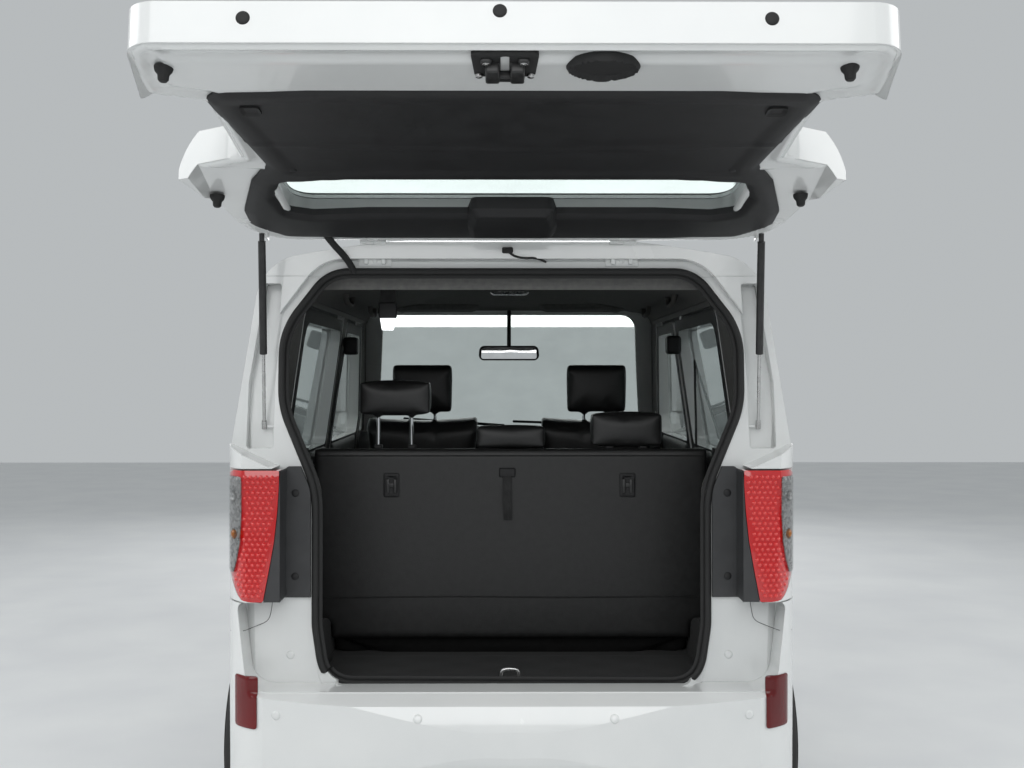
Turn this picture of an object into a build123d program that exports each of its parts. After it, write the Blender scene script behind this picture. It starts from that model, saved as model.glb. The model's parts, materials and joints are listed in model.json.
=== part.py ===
"""City car: a tall, boxy five-door body on four wheels, tailgate raised.

Millimetres. +Z is up, the ground is z = 0, the nose points along -Y and the
car's left side is +X. The origin is on the ground in the middle of the car as
it stands with its tailgate raised.
"""
import os
from math import atan2, cos, degrees, hypot, radians, sin, sqrt, tan

from build123d import *

os.makedirs("parts", exist_ok=True)

# Overall sizes of the car, tailgate shut
LENGTH = 3595.0
WIDTH = 1595.0
HEIGHT = 1700.0
WHEELBASE = 2520.0
FRONT_OVERHANG = 600.0
TRACK = 1410.0
FLOOR_Z = 175.0
NOSE_Y = -2284.0

# Heights and half widths of the body section, seen from the front
SILL_HALF_WIDTH = 748.0
BELT_HALF_WIDTH = 780.0
CANT_HALF_WIDTH = 694.0
SHOULDER_HALF_WIDTH = 596.0
WIDEST_Z = 580.0
BELT_Z = 1040.0
CANT_Z = 1545.0
SHOULDER_Z = 1645.0
SHOULDER_BULGE = 26.0
ROOF_SPLIT_Z = 1590.0

# Wall thicknesses
SIDE_WALL = 62.0
ROOF_WALL = 36.0
TAIL_RECESS = 106.0
TAIL_RING = 75.0
SEAM = 0.3

# Shut lines: the gap round a moving panel and the stepped flange behind it
PANEL_GAP = 6.0
DOOR_SKIN = 20.0
FLANGE_DEPTH = 26.0
FLANGE_WIDTH = 12.0
DOOR_INNER_INSET = 25.0

# Glass: how deep the panes sit below the skin, and how thick they are
GLASS_DEPTH = 9.0
GLASS_THICKNESS = 5.0

# Wheels
TYRE_DIAMETER = 556.0
TYRE_WIDTH = 175.0
RIM_DIAMETER = 381.0
RIM_WIDTH = 150.0
FRONT_ARCH_RADIUS = 322.0
REAR_ARCH_RADIUS = 312.0
ARCH_INNER_X = 452.0
REAR_ARCH_INNER_X = 560.0

# Tailgate hinge and the angle by which it stands open
HINGE_STATION = 3398.0
HINGE_Z = 1683.0
TAILGATE_OPEN = 98.5
TAILGATE_DEPTH = 78.0
TRIM_THICKNESS = 8.0

# Gas struts: pins given from the tailgate hinge, tailgate shut
STRUT_TOP_BEHIND = -24.0
STRUT_TOP_BELOW = 150.0
STRUT_TOP_X = 650.0
STRUT_FOOT_X = 676.0
STRUT_FOOT_STATION = 3388.0
STRUT_FOOT_Z = 1180.0
STRUT_BODY_RADIUS = 10.0
STRUT_ROD_RADIUS = 4.5

# Steering
KINGPIN_FOOT_X = 668.0
KINGPIN_LEAN = 10.4
STEERING_WHEEL_RADIUS = 185.0
STEERING_WHEEL_X = 350.0
STEERING_WHEEL_STATION = 1235.0
STEERING_WHEEL_Z = 935.0
COLUMN_SLOPE = 26.0


def station(distance):
    """Turn a distance behind the nose into y."""
    return NOSE_Y + distance


FRONT_AXLE = FRONT_OVERHANG
REAR_AXLE = FRONT_OVERHANG + WHEELBASE
FRONT_AXLE_Y = station(FRONT_AXLE)
REAR_AXLE_Y = station(REAR_AXLE)
TAIL_Y = station(LENGTH)
TYRE_RADIUS = TYRE_DIAMETER / 2
RIM_RADIUS = RIM_DIAMETER / 2
WHEEL_X = TRACK / 2
HALF_WIDTH = WIDTH / 2
HINGE_Y = station(HINGE_STATION)
HINGE_AXIS = Axis((0, HINGE_Y, HINGE_Z), (1, 0, 0))
BEYOND = 200.0

# Stations of the body's panel lines, behind the nose
COWL = 640.0
SCREEN_TOP = 1235.0
FENDER_END = 925.0
FRONT_DOOR_START = 940.0
B_PILLAR = 1905.0
REAR_DOOR_END = 2890.0
REAR_SKIN = LENGTH - 75.0

# Side view of the whole body: arcs through a start, a middle and an end,
# each as (station, height)
SIDE_ARCS = (
    ((95, FLOOR_Z), (14, 330), (0, 520)),
    ((0, 520), (14, 680), (78, 810)),
    ((78, 810), (118, 856), (190, 888)),
    ((190, 888), (410, 985), (COWL, BELT_Z)),
    ((COWL, BELT_Z), (930, 1345), (SCREEN_TOP, 1606)),
    ((SCREEN_TOP, 1606), (1310, 1646), (1410, 1668)),
    ((1410, 1668), (2250, HEIGHT), (3300, 1680)),
    ((3300, 1680), (REAR_SKIN - 100, 1672), (REAR_SKIN - 56, 1632)),
    ((REAR_SKIN - 56, 1632), (REAR_SKIN - 14, 1150), (REAR_SKIN, 720)),
)
# Side view of the rear bumper below the tailgate
BUMPER_TOP_Z = 462.0
TAIL_POINTS = ((REAR_SKIN + 4, 484), (LENGTH - 18, BUMPER_TOP_Z))
TAIL_ARC = ((LENGTH - 18, BUMPER_TOP_Z), (LENGTH, 400), (LENGTH - 40, 230))

# Plan view of one side of the body: arcs through a start, a middle and an
# end, each as (half width, station), joined by the straight side
PLAN_FRONT_ARCS = (
    ((0, 0), (330, 22), (560, 80)),
    ((560, 80), (690, 170), (748, 330)),
    ((748, 330), (784, 560), (HALF_WIDTH, 900)),
)
PLAN_REAR_ARCS = (
    ((HALF_WIDTH, 2700), (792, 3130), (768, 3380)),
    ((768, 3380), (738, 3480), (650, LENGTH - 49)),
    ((650, LENGTH - 49), (330, LENGTH - 10), (0, LENGTH)),
)


def yz(point):
    """Place a (station, height) pair in the side view."""
    return (station(point[0]), point[1])


def side_outline(foot_z):
    """Draw the whole body's side view, down to a given height."""
    with BuildLine() as view:
        for first, middle, last in SIDE_ARCS:
            ThreePointArc(yz(first), yz(middle), yz(last))
        Polyline(yz(SIDE_ARCS[-1][2]), yz(TAIL_POINTS[0]), yz(TAIL_POINTS[1]))
        ThreePointArc(*(yz(point) for point in TAIL_ARC))
        Polyline(yz(TAIL_ARC[2]), yz((LENGTH - 60, foot_z)), yz((SIDE_ARCS[0][0][0], foot_z)))
        if foot_z < FLOOR_Z:
            Line(yz((SIDE_ARCS[0][0][0], foot_z)), yz(SIDE_ARCS[0][0]))
    make_face(view.edges())


def front_outline(side_inset, roof_inset, foot_z):
    """Draw the body's front view, its walls moved in by the two insets."""
    upper_inset = (side_inset + roof_inset) / 2
    with BuildLine() as half:
        foot = (SILL_HALF_WIDTH - side_inset, foot_z)
        widest = (HALF_WIDTH - side_inset, WIDEST_Z)
        belt = (BELT_HALF_WIDTH - side_inset, BELT_Z)
        cant = (CANT_HALF_WIDTH - upper_inset, CANT_Z)
        shoulder = (SHOULDER_HALF_WIDTH - upper_inset, SHOULDER_Z - roof_inset)
        between = (
            (cant[0] + shoulder[0]) / 2 + SHOULDER_BULGE / 2,
            (cant[1] + shoulder[1]) / 2 + SHOULDER_BULGE / 2,
        )
        Line((0, foot_z), foot)
        ThreePointArc(foot, widest, belt)
        Line(belt, cant)
        ThreePointArc(cant, between, shoulder)
        mirror(about=Plane.YZ)
        ThreePointArc(shoulder, (0, HEIGHT - roof_inset + 2), (-shoulder[0], shoulder[1]))
    make_face(half.edges())


def plan_outline():
    """Draw the body's plan view."""
    with BuildLine() as view:
        for arc in PLAN_FRONT_ARCS + PLAN_REAR_ARCS:
            ThreePointArc(*((x, station(distance)) for x, distance in arc))
        front_end = PLAN_FRONT_ARCS[-1][2]
        rear_start = PLAN_REAR_ARCS[0][0]
        Line((front_end[0], station(front_end[1])), (rear_start[0], station(rear_start[1])))
        mirror(about=Plane.YZ)
    make_face(view.edges())


def car_form(side_inset=0.0, roof_inset=0.0, foot_z=FLOOR_Z):
    """Make the solid in which the three views of the body meet.

    An inset view is what stays when its outline is moved in from each side.
    """
    side_moves = ((0, 0), (roof_inset, 0), (-roof_inset, 0), (0, -roof_inset))
    plan_moves = ((0, 0), (0, side_inset), (0, -side_inset), (-side_inset, 0), (side_inset, 0))
    with BuildPart() as form:
        with BuildSketch(Plane.XZ.offset(-LENGTH)):
            front_outline(side_inset, roof_inset, foot_z)
        extrude(amount=2 * LENGTH)
        for along, up in side_moves[:1] if not roof_inset else side_moves[1:]:
            with BuildSketch(Plane((-WIDTH, along, up), x_dir=(0, 1, 0), z_dir=(1, 0, 0))):
                side_outline(foot_z - abs(roof_inset))
            extrude(amount=2 * WIDTH, mode=Mode.INTERSECT)
        for across, along in plan_moves[:1] if not side_inset else plan_moves[1:]:
            with BuildSketch(Plane((across, along, foot_z - BEYOND))):
                plan_outline()
            extrude(amount=2 * HEIGHT, mode=Mode.INTERSECT)
    return form.part


def moved_forward(form, distance):
    """Shift a form towards the nose."""
    return form.moved(Location((0, -distance, 0)))


def cabin_form(gap=0.0):
    """Make the hollow inside the body, or a little less than it."""
    with BuildPart() as hollow:
        add(car_form(SIDE_WALL + gap, ROOF_WALL + gap, FLOOR_Z - BEYOND))
        add(moved_forward(OPEN_OUTER, TAIL_RECESS + TAIL_RING + gap), mode=Mode.INTERSECT)
    return hollow.part


OUTER = car_form()
OPEN_OUTER = car_form(foot_z=FLOOR_Z - BEYOND)
CABIN = cabin_form()
CABIN_FIT = cabin_form(SEAM)
DOOR_SKIN_INSIDE = car_form(DOOR_SKIN, DOOR_SKIN, FLOOR_Z - BEYOND)
FLANGE_FORM = car_form(FLANGE_DEPTH, FLANGE_DEPTH, FLOOR_Z - BEYOND)
GLASS_OUTSIDE = car_form(GLASS_DEPTH, GLASS_DEPTH, FLOOR_Z - BEYOND)
GLASS_INSIDE = car_form(GLASS_DEPTH + GLASS_THICKNESS, GLASS_DEPTH + GLASS_THICKNESS, FLOOR_Z - BEYOND)
LEFT = (0.0, WIDTH)
RIGHT = (-WIDTH, 0.0)
ALL_ACROSS = (-WIDTH, WIDTH)


def save(part, name):
    """Label a finished piece and write its file."""
    part.label = name
    export_step(part, "parts/" + name + ".step")
    print(name, len(part.solids()), round(part.volume / 1e6, 3))


def closed_face(corners, radius):
    """Draw a closed outline with rounded corners in the open sketch."""
    with BuildLine() as line:
        FilletPolyline(*corners, radius=radius, close=True)
    make_face(line.edges())


def side_prism(corners, radius, across=ALL_ACROSS, mode=Mode.ADD, grow=0.0, arch=0.0):
    """Extrude a side-view outline, given as (station, height), over a range of x.

    The outline may be grown, and loses a circle round the rear axle.
    """
    with BuildSketch(Plane.YZ.offset(across[0])) as sketch:
        closed_face([yz(corner) for corner in corners], radius)
        if arch:
            with Locations((REAR_AXLE_Y, TYRE_RADIUS)):
                Circle(arch, mode=Mode.SUBTRACT)
        if grow:
            offset(amount=grow, kind=Kind.INTERSECTION)
    extrude(sketch.sketch, amount=across[1] - across[0], mode=mode)


def rear_prism(corners, radius, along, mode=Mode.ADD, grow=0.0):
    """Extrude a rear-view outline, given as (x, height), over a range of stations."""
    with BuildSketch(Plane.XZ.offset(-station(along[1]))) as sketch:
        closed_face(corners, radius)
        if grow:
            offset(amount=grow, kind=Kind.INTERSECTION)
    extrude(sketch.sketch, amount=along[1] - along[0], mode=mode)


def plan_prism(corners, radius, up, mode=Mode.ADD):
    """Extrude a plan outline, given as (x, station), over a range of heights."""
    with BuildSketch(Plane.XY.offset(up[0])) as sketch:
        closed_face([(x, station(distance)) for x, distance in corners], radius)
    extrude(sketch.sketch, amount=up[1] - up[0], mode=mode)


def box(across, along, up, mode=Mode.ADD):
    """Make a block from its ranges of x, station and height."""
    with BuildSketch(Plane.XY.offset(up[0])) as sketch:
        with Locations(((across[0] + across[1]) / 2, station((along[0] + along[1]) / 2))):
            Rectangle(across[1] - across[0], along[1] - along[0])
    extrude(sketch.sketch, amount=up[1] - up[0], mode=mode)


def both_sides(corners):
    """Close a half outline, given from its foot to its top, with its mirror image."""
    return list(corners) + [(-x, z) for x, z in reversed(corners)]


def mirrored(part):
    """Copy a piece to the other side of the car."""
    with BuildPart() as other:
        add(part)
        mirror(about=Plane.YZ, mode=Mode.REPLACE)
    return other.part


# Door outlines in the side view, as (station, height), with a corner radius
DOOR_FOOT_Z = 335.0
DOOR_TOP_Z = 1556.0
FRONT_DOOR = (
    (FRONT_DOOR_START, DOOR_FOOT_Z), (B_PILLAR + 3, DOOR_FOOT_Z), (B_PILLAR + 3, DOOR_TOP_Z),
    (1362, DOOR_TOP_Z), (FRONT_DOOR_START, 1150),
)
FRONT_DOOR_RADII = (40, 40, 55, 60, 60)
REAR_DOOR = (
    (B_PILLAR - 3, DOOR_FOOT_Z), (REAR_DOOR_END, DOOR_FOOT_Z), (REAR_DOOR_END, DOOR_TOP_Z),
    (B_PILLAR - 3, DOOR_TOP_Z),
)
REAR_DOOR_RADII = (40, 40, 70, 55)
DOOR_ARCH_RADIUS = REAR_ARCH_RADIUS + 42.0
WINDOW_FOOT_Z = BELT_Z + 14.0
WINDOW_TOP_Z = DOOR_TOP_Z - 66.0
FRONT_WINDOW = (
    (FRONT_DOOR_START + 75, WINDOW_FOOT_Z), (B_PILLAR - 82, WINDOW_FOOT_Z),
    (B_PILLAR - 82, WINDOW_TOP_Z), (1400, WINDOW_TOP_Z), (FRONT_DOOR_START + 75, 1130),
)
FRONT_WINDOW_RADII = (25, 30, 45, 50, 40)
REAR_WINDOW = (
    (B_PILLAR + 82, WINDOW_FOOT_Z), (REAR_DOOR_END - 85, WINDOW_FOOT_Z),
    (REAR_DOOR_END - 85, WINDOW_TOP_Z), (B_PILLAR + 82, WINDOW_TOP_Z),
)
REAR_WINDOW_RADII = (30, 60, 60, 45)
QUARTER_WINDOW = (
    (FRONT_DOOR_START - 150, WINDOW_FOOT_Z), (FRONT_DOOR_START - 30, WINDOW_FOOT_Z),
    (FRONT_DOOR_START - 30, 1165),
)
QUARTER_RADII = (12, 18, 12)
DOORS = (
    (FRONT_DOOR, FRONT_DOOR_RADII, 0.0),
    (REAR_DOOR, REAR_DOOR_RADII, DOOR_ARCH_RADIUS),
)

# Windscreen in the front view, as (x, height)
SCREEN_HALF = ((648, BELT_Z + 22), (566, ROOF_SPLIT_Z))
SCREEN_RADII = (60, 70)

# Tailgate, shut, in the rear view: wide above the lamps, narrow between them
# and wide again below, as (x, height) of one half
LAMP_FOOT_Z = 718.0
LAMP_TOP_Z = 1072.0
LAMP_INNER_X = 612.0
SHELF_TOP_Z = 1165.0
TAILGATE_FOOT_Z = 492.0
TAILGATE_HALF = (
    (692, TAILGATE_FOOT_Z), (722, LAMP_FOOT_Z - 8),
    (LAMP_INNER_X - 6, LAMP_FOOT_Z + 26), (LAMP_INNER_X - 6, LAMP_TOP_Z + 10),
    (LAMP_INNER_X + 30, LAMP_TOP_Z + 10), (HALF_WIDTH + 20, SHELF_TOP_Z), (HALF_WIDTH + 20, HEIGHT + 20),
)
TAILGATE_RADII = (60, 16, 40, 15, 15, 0, 0)
LAMP_HALF = (
    (LAMP_INNER_X, LAMP_TOP_Z), (LAMP_INNER_X, LAMP_FOOT_Z + 60), (LAMP_INNER_X + 70, LAMP_FOOT_Z),
    (HALF_WIDTH + 20, LAMP_FOOT_Z), (HALF_WIDTH + 20, LAMP_TOP_Z),
)
LAMP_RADII = (40, 30, 60, 0, 0)
APERTURE_HALF = (
    (505, 470), (528, 640), (528, 1010), (622, 1235), (622, 1440), (500, 1600),
)
APERTURE_RADII = (60, 120, 120, 120, 160, 90)
BACKLIGHT_HALF = ((560, 1120), (600, 1190), (560, 1500))
BACKLIGHT_RADII = (40, 60, 60)


HEADER_DROP = 38.0
CHANNEL_DEPTH = 30.0
SHELF = (
    (LAMP_INNER_X + 12, LAMP_TOP_Z + SEAM), (HALF_WIDTH + 20, LAMP_TOP_Z + SEAM),
    (HALF_WIDTH + 20, SHELF_TOP_Z - 6), (LAMP_INNER_X + 28, LAMP_TOP_Z + 4),
)
CHANNEL = (
    (650, 1120), (724, 1120), (716, 1300), (690, 1450), (676, ROOF_SPLIT_Z - 20), (626, ROOF_SPLIT_Z - 20),
    (634, 1450), (646, 1300),
)
STUD_RADIUS = 4.0
STUD_GAP = 1.0
BALL_RADIUS = 7.0


def both_radii(radii):
    """Mirror the radii of a half outline."""
    return list(radii) + list(reversed(radii))


# Panel lines of the nose, in plan as (x, station) and in the side view
BONNET_END = COWL - 14.0
BONNET_HALF = ((430, 82), (560, 150), (655, 330), (690, BONNET_END))
BONNET_RADII = (30, 60, 200, 15)
BONNET_GAP = 5.5
BUMPER_SPLIT_Z = 704.0
FRONT_BUMPER_SIDE = (
    (-50, 0), (300, 0), (300, 600), (190, BUMPER_SPLIT_Z), (-50, BUMPER_SPLIT_Z),
)
HEADLAMP = ((405, BUMPER_SPLIT_Z + SEAM), (600, BUMPER_SPLIT_Z + SEAM), (790, 772), (790, 868), (560, 860), (420, 822))
HEADLAMP_RADII = (3, 60, 30, 30, 60, 20)
HEADLAMP_END = 400.0
GRILLE_HALF = ((404, BUMPER_SPLIT_Z + SEAM), (404, 840))
INTAKE_HALF = ((390, 262), (430, 420))
SCREEN_FOOT = 664.0


def door_hole(grow, pillar_half):
    """Make both door openings, with or without the pillar between them."""
    with BuildPart() as hole:
        side_prism(FRONT_DOOR, FRONT_DOOR_RADII, grow=grow)
        side_prism(REAR_DOOR, REAR_DOOR_RADII, grow=grow, arch=DOOR_ARCH_RADIUS)
        if pillar_half:
            box((-WIDTH, WIDTH), (B_PILLAR - pillar_half, B_PILLAR + pillar_half), (0, HEIGHT),
                mode=Mode.SUBTRACT)
        else:
            box((-WIDTH, WIDTH), (B_PILLAR - BEYOND, B_PILLAR + BEYOND),
                (DOOR_FOOT_Z - grow, DOOR_TOP_Z + grow))
    return hole.part


# The body's skin, open below and hollow inside
with BuildPart() as body_skin:
    add(OUTER)
    add(CABIN, mode=Mode.SUBTRACT)
SKIN = body_skin.part

# What the tailgate, lamps and bumper take out of the body behind its ring
with BuildPart() as tail_space:
    box((-WIDTH, WIDTH), (HINGE_STATION - 3, LENGTH + BEYOND), (0, 2 * HEIGHT))
    rear_prism(both_sides(APERTURE_HALF), both_radii(APERTURE_RADII), (3200, LENGTH), grow=HEADER_DROP)
    add(moved_forward(OPEN_OUTER, TAIL_RECESS), mode=Mode.SUBTRACT)
TAIL_SPACE = tail_space.part

# Channels beside the load opening, in which the gas struts lie
with BuildPart() as strut_channels:
    rear_prism(CHANNEL, 8, (3200, LENGTH))
    add(moved_forward(OPEN_OUTER, TAIL_RECESS + CHANNEL_DEPTH), mode=Mode.SUBTRACT)
    mirror(about=Plane.YZ)
CHANNELS = strut_channels.part

# The body's shoulders over the lamps, outside the tailgate
SHELVES = {}
for sign in (1, -1):
    with BuildPart() as shelf:
        add(OUTER)
        add(moved_forward(OPEN_OUTER, TAIL_RECESS + 4), mode=Mode.SUBTRACT)
        rear_prism([(sign * x, z) for x, z in SHELF], 1, (HINGE_STATION - BEYOND, LENGTH), mode=Mode.INTERSECT)
    SHELVES[sign] = shelf.part

# The shut lines and flanges of the door openings
with BuildPart() as rebates:
    side_prism(FRONT_DOOR, FRONT_DOOR_RADII)
    side_prism(REAR_DOOR, REAR_DOOR_RADII, arch=DOOR_ARCH_RADIUS)
    add(FLANGE_FORM, mode=Mode.SUBTRACT)
REBATES = rebates.part

with BuildPart() as pane_layer:
    add(GLASS_OUTSIDE)
    add(GLASS_INSIDE, mode=Mode.SUBTRACT)
PANE_LAYER = pane_layer.part


def step_form(pillar_half):
    """Make what the inner boxes of the doors leave free behind their skins."""
    hole = door_hole(-DOOR_INNER_INSET, pillar_half)
    with BuildPart() as steps:
        add(DOOR_SKIN_INSIDE)
        add(hole, mode=Mode.SUBTRACT)
    return steps.part


PILLAR_HALF = 50.0
STEPS_LEFT = step_form(PILLAR_HALF + 12)
STEPS_RIGHT = step_form(3.0)
HOLE_LEFT = door_hole(-FLANGE_WIDTH, PILLAR_HALF)
HOLE_RIGHT = door_hole(-FLANGE_WIDTH, 0.0)
SIDE_FRAME_VIEW = (
    (FENDER_END + SEAM, 0), (LENGTH + 50, 0), (LENGTH + 50, ROOF_SPLIT_Z),
    (1100, ROOF_SPLIT_Z), (COWL - 60, BELT_Z + 2), (FENDER_END + SEAM, BELT_Z + 2),
)
SIDE_KEEP_X = 430.0
RING_FOOT_SPLIT = 560.0
FLAP_STATION = 3205.0
FLAP_Z = 960.0
FLAP_SIZE = 150.0
FLAP_DEPTH = 28.0
FLAP_GAP = 5.0
HINGE_HEIGHTS = (500.0, 900.0)


def side_frame(sign, hole):
    """Make one side of the body: sill, pillars and rear quarter."""
    across = (SIDE_KEEP_X, WIDTH) if sign > 0 else (-WIDTH, -SIDE_KEEP_X)
    with BuildPart() as frame:
        add(SKIN)
        side_prism(SIDE_FRAME_VIEW, 0, across=across, mode=Mode.INTERSECT)
        add(TAIL_SPACE, mode=Mode.SUBTRACT)
        add(CHANNELS, mode=Mode.SUBTRACT)
        add(REBATES, mode=Mode.SUBTRACT)
        add(hole, mode=Mode.SUBTRACT)
        box((-690, 690), (BONNET_END - 100, SCREEN_FOOT), (900, HEIGHT), mode=Mode.SUBTRACT)
        side_prism(QUARTER_WINDOW, QUARTER_RADII, across=across, mode=Mode.SUBTRACT)
        rear_prism(both_sides(SCREEN_HALF), both_radii(SCREEN_RADII), (500, 1300), mode=Mode.SUBTRACT)
        rear_prism(both_sides(APERTURE_HALF), both_radii(APERTURE_RADII), (3200, LENGTH), mode=Mode.SUBTRACT)
        box((-RING_FOOT_SPLIT, RING_FOOT_SPLIT), (3200, LENGTH), (0, 470), mode=Mode.SUBTRACT)
        with Locations(Location((sign * (REAR_ARCH_INNER_X + WIDTH) / 2, REAR_AXLE_Y, TYRE_RADIUS), (0, 90, 0))):
            Cylinder(REAR_ARCH_RADIUS, WIDTH - REAR_ARCH_INNER_X, mode=Mode.SUBTRACT)
        add(SHELVES[sign])
        stud_foot = STRUT_FOOT_X - BALL_RADIUS - STUD_GAP
        with BuildSketch(Plane.YZ.offset(sign * stud_foot)) as stud:
            with Locations((station(STRUT_FOOT_STATION), STRUT_FOOT_Z)):
                Circle(STUD_RADIUS)
        extrude(stud.sketch, amount=-sign * 24)
        edges = [FRONT_DOOR_START + DOOR_INNER_INSET] + ([B_PILLAR + PILLAR_HALF + 12] if sign > 0 else [])
        low, high = sorted((sign * (HALF_WIDTH - 60), sign * (HALF_WIDTH - 30)))
        for edge in edges:
            for height in HINGE_HEIGHTS:
                box((low, high), (edge - 14, edge - SEAM), (height - 40, height + 40))
        if sign > 0:
            box((HALF_WIDTH - 20 - FLAP_DEPTH, WIDTH),
                (FLAP_STATION - FLAP_SIZE / 2 - FLAP_GAP, FLAP_STATION + FLAP_SIZE / 2 + FLAP_GAP),
                (FLAP_Z - FLAP_SIZE / 2 - FLAP_GAP, FLAP_Z + FLAP_SIZE / 2 + FLAP_GAP), mode=Mode.SUBTRACT)
    return frame.part


save(side_frame(1, HOLE_LEFT), "side_frame_left")
save(side_frame(-1, HOLE_RIGHT), "side_frame_right")

# Hinge knuckles on the tailgate's axis: on the roof, and beside them on the tailgate
KNUCKLE_PLACES = (340.0, -340.0)
KNUCKLE_WIDTH = 36.0
KNUCKLE_RADIUS = 6.5
KNUCKLE_CLEAR = 8.0


def hinge_knuckles(places, radius, mode, shift, width=KNUCKLE_WIDTH):
    """Make short cylinders on the tailgate's hinge axis."""
    for place in places:
        with BuildSketch(Plane.YZ.offset(place + shift)) as knuckle_end:
            with Locations((HINGE_Y, HINGE_Z)):
                Circle(radius)
        extrude(knuckle_end.sketch, amount=width, mode=mode)


# Roof, from the windscreen's header to the tailgate's hinges
with BuildPart() as roof:
    add(SKIN)
    box((-WIDTH, WIDTH), (0, HINGE_STATION - 3), (ROOF_SPLIT_Z + SEAM, 2 * HEIGHT), mode=Mode.INTERSECT)
    add(TAIL_SPACE, mode=Mode.SUBTRACT)
    rear_prism(both_sides(APERTURE_HALF), both_radii(APERTURE_RADII), (3200, LENGTH), mode=Mode.SUBTRACT)
    hinge_knuckles(KNUCKLE_PLACES, KNUCKLE_CLEAR, Mode.SUBTRACT, KNUCKLE_WIDTH, KNUCKLE_WIDTH + 2 * SEAM)
    hinge_knuckles(KNUCKLE_PLACES, KNUCKLE_RADIUS, Mode.ADD, 0)
save(roof.part, "roof_panel")

# Rear panel: the foot of the ring under the load space
with BuildPart() as rear_panel:
    add(SKIN)
    box((-RING_FOOT_SPLIT + SEAM, RING_FOOT_SPLIT - SEAM), (3200, LENGTH), (0, 470 - SEAM), mode=Mode.INTERSECT)
    add(TAIL_SPACE, mode=Mode.SUBTRACT)
save(rear_panel.part, "rear_panel")

# Fenders, from the nose to the doors
with BuildPart() as fenders:
    add(SKIN)
    box((-WIDTH, WIDTH), (-BEYOND, FENDER_END), (0, BELT_Z + 2 - SEAM), mode=Mode.INTERSECT)
    box((-405, 405), (-BEYOND, FENDER_END), (0, HEIGHT), mode=Mode.SUBTRACT)
    box((-560, 560), (-BEYOND, 170), (0, HEIGHT), mode=Mode.SUBTRACT)
    side_prism(FRONT_BUMPER_SIDE, 0, mode=Mode.SUBTRACT, grow=SEAM)
    plan_prism(both_sides(BONNET_HALF), both_radii(BONNET_RADII), (760, HEIGHT), mode=Mode.SUBTRACT)
    box((-690, 690), (BONNET_END - 20, SCREEN_FOOT), (900, HEIGHT), mode=Mode.SUBTRACT)
    for sign in (1, -1):
        rear_prism([(sign * x, z) for x, z in HEADLAMP], HEADLAMP_RADII, (-BEYOND, HEADLAMP_END),
                   mode=Mode.SUBTRACT)
        with Locations(Location((sign * (ARCH_INNER_X + WIDTH) / 2, FRONT_AXLE_Y, TYRE_RADIUS), (0, 90, 0))):
            Cylinder(FRONT_ARCH_RADIUS, WIDTH - ARCH_INNER_X, mode=Mode.SUBTRACT)
save(fenders.part, "front_fenders")

# Bonnet, hinged at its rear edge
with BuildPart() as bonnet:
    add(SKIN)
    plan_prism(both_sides(BONNET_HALF), both_radii(BONNET_RADII), (760, HEIGHT), mode=Mode.INTERSECT)
    with BuildSketch(Plane.XY.offset(700)) as shut_line:
        closed_face([(x, station(distance)) for x, distance in both_sides(BONNET_HALF)], both_radii(BONNET_RADII))
        offset(amount=-BONNET_GAP, kind=Kind.INTERSECTION)
    extrude(shut_line.sketch, amount=HEIGHT, mode=Mode.INTERSECT)
save(bonnet.part, "bonnet")

# Front bumper with its lower intake
PLATE_HOLE_SPACING = 210.0
PLATE_HOLE_RADIUS = 3.5
PLATE_Z = 560.0
with BuildPart() as front_bumper:
    add(SKIN)
    side_prism(FRONT_BUMPER_SIDE, 0, mode=Mode.INTERSECT)
    rear_prism(both_sides(INTAKE_HALF), 25, (-BEYOND, 300), mode=Mode.SUBTRACT)
    for sign in (1, -1):
        rear_prism([(sign * x, z) for x, z in HEADLAMP], HEADLAMP_RADII, (-BEYOND, HEADLAMP_END),
                   mode=Mode.SUBTRACT)
        with Locations(Location((sign * (ARCH_INNER_X + WIDTH) / 2, FRONT_AXLE_Y, TYRE_RADIUS), (0, 90, 0))):
            Cylinder(FRONT_ARCH_RADIUS, WIDTH - ARCH_INNER_X, mode=Mode.SUBTRACT)
    with BuildSketch(Plane.XZ.offset(-station(120))) as plate_holes:
        with Locations((-PLATE_HOLE_SPACING / 2, PLATE_Z), (PLATE_HOLE_SPACING / 2, PLATE_Z)):
            Circle(PLATE_HOLE_RADIUS)
    extrude(plate_holes.sketch, amount=BEYOND, mode=Mode.SUBTRACT)
save(front_bumper.part, "front_bumper")

# Grille between the lamps, and the slats of the lower intake
GRILLE_BARS = 4
with BuildPart() as grille:
    add(SKIN)
    rear_prism(both_sides(GRILLE_HALF), 3, (-BEYOND, 160), mode=Mode.INTERSECT)
    plan_prism(both_sides(BONNET_HALF), both_radii(BONNET_RADII), (760, HEIGHT), mode=Mode.SUBTRACT)
with BuildPart() as intake_slats:
    add(SKIN)
    rear_prism(both_sides(INTAKE_HALF), 25, (-BEYOND, 300), mode=Mode.INTERSECT, grow=-SEAM)
    for row in range(GRILLE_BARS):
        pitch = (INTAKE_HALF[1][1] - INTAKE_HALF[0][1]) / GRILLE_BARS
        low = INTAKE_HALF[0][1] + pitch * row + pitch * 0.3
        box((-375, 375), (-BEYOND, 300), (low, low + pitch * 0.55), mode=Mode.SUBTRACT)
with BuildPart() as grilles:
    add(grille.part)
    add(intake_slats.part)
save(grilles.part, "grille")

# Headlamps, wrapped round the corners of the nose
with BuildPart() as headlamps:
    add(SKIN)
    rear_prism([(x, z) for x, z in HEADLAMP], HEADLAMP_RADII, (-BEYOND, HEADLAMP_END), grow=-SEAM,
               mode=Mode.INTERSECT)
    plan_prism(both_sides(BONNET_HALF), both_radii(BONNET_RADII), (760, HEIGHT), mode=Mode.SUBTRACT)
    mirror(about=Plane.YZ)
save(headlamps.part, "headlamps")

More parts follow.
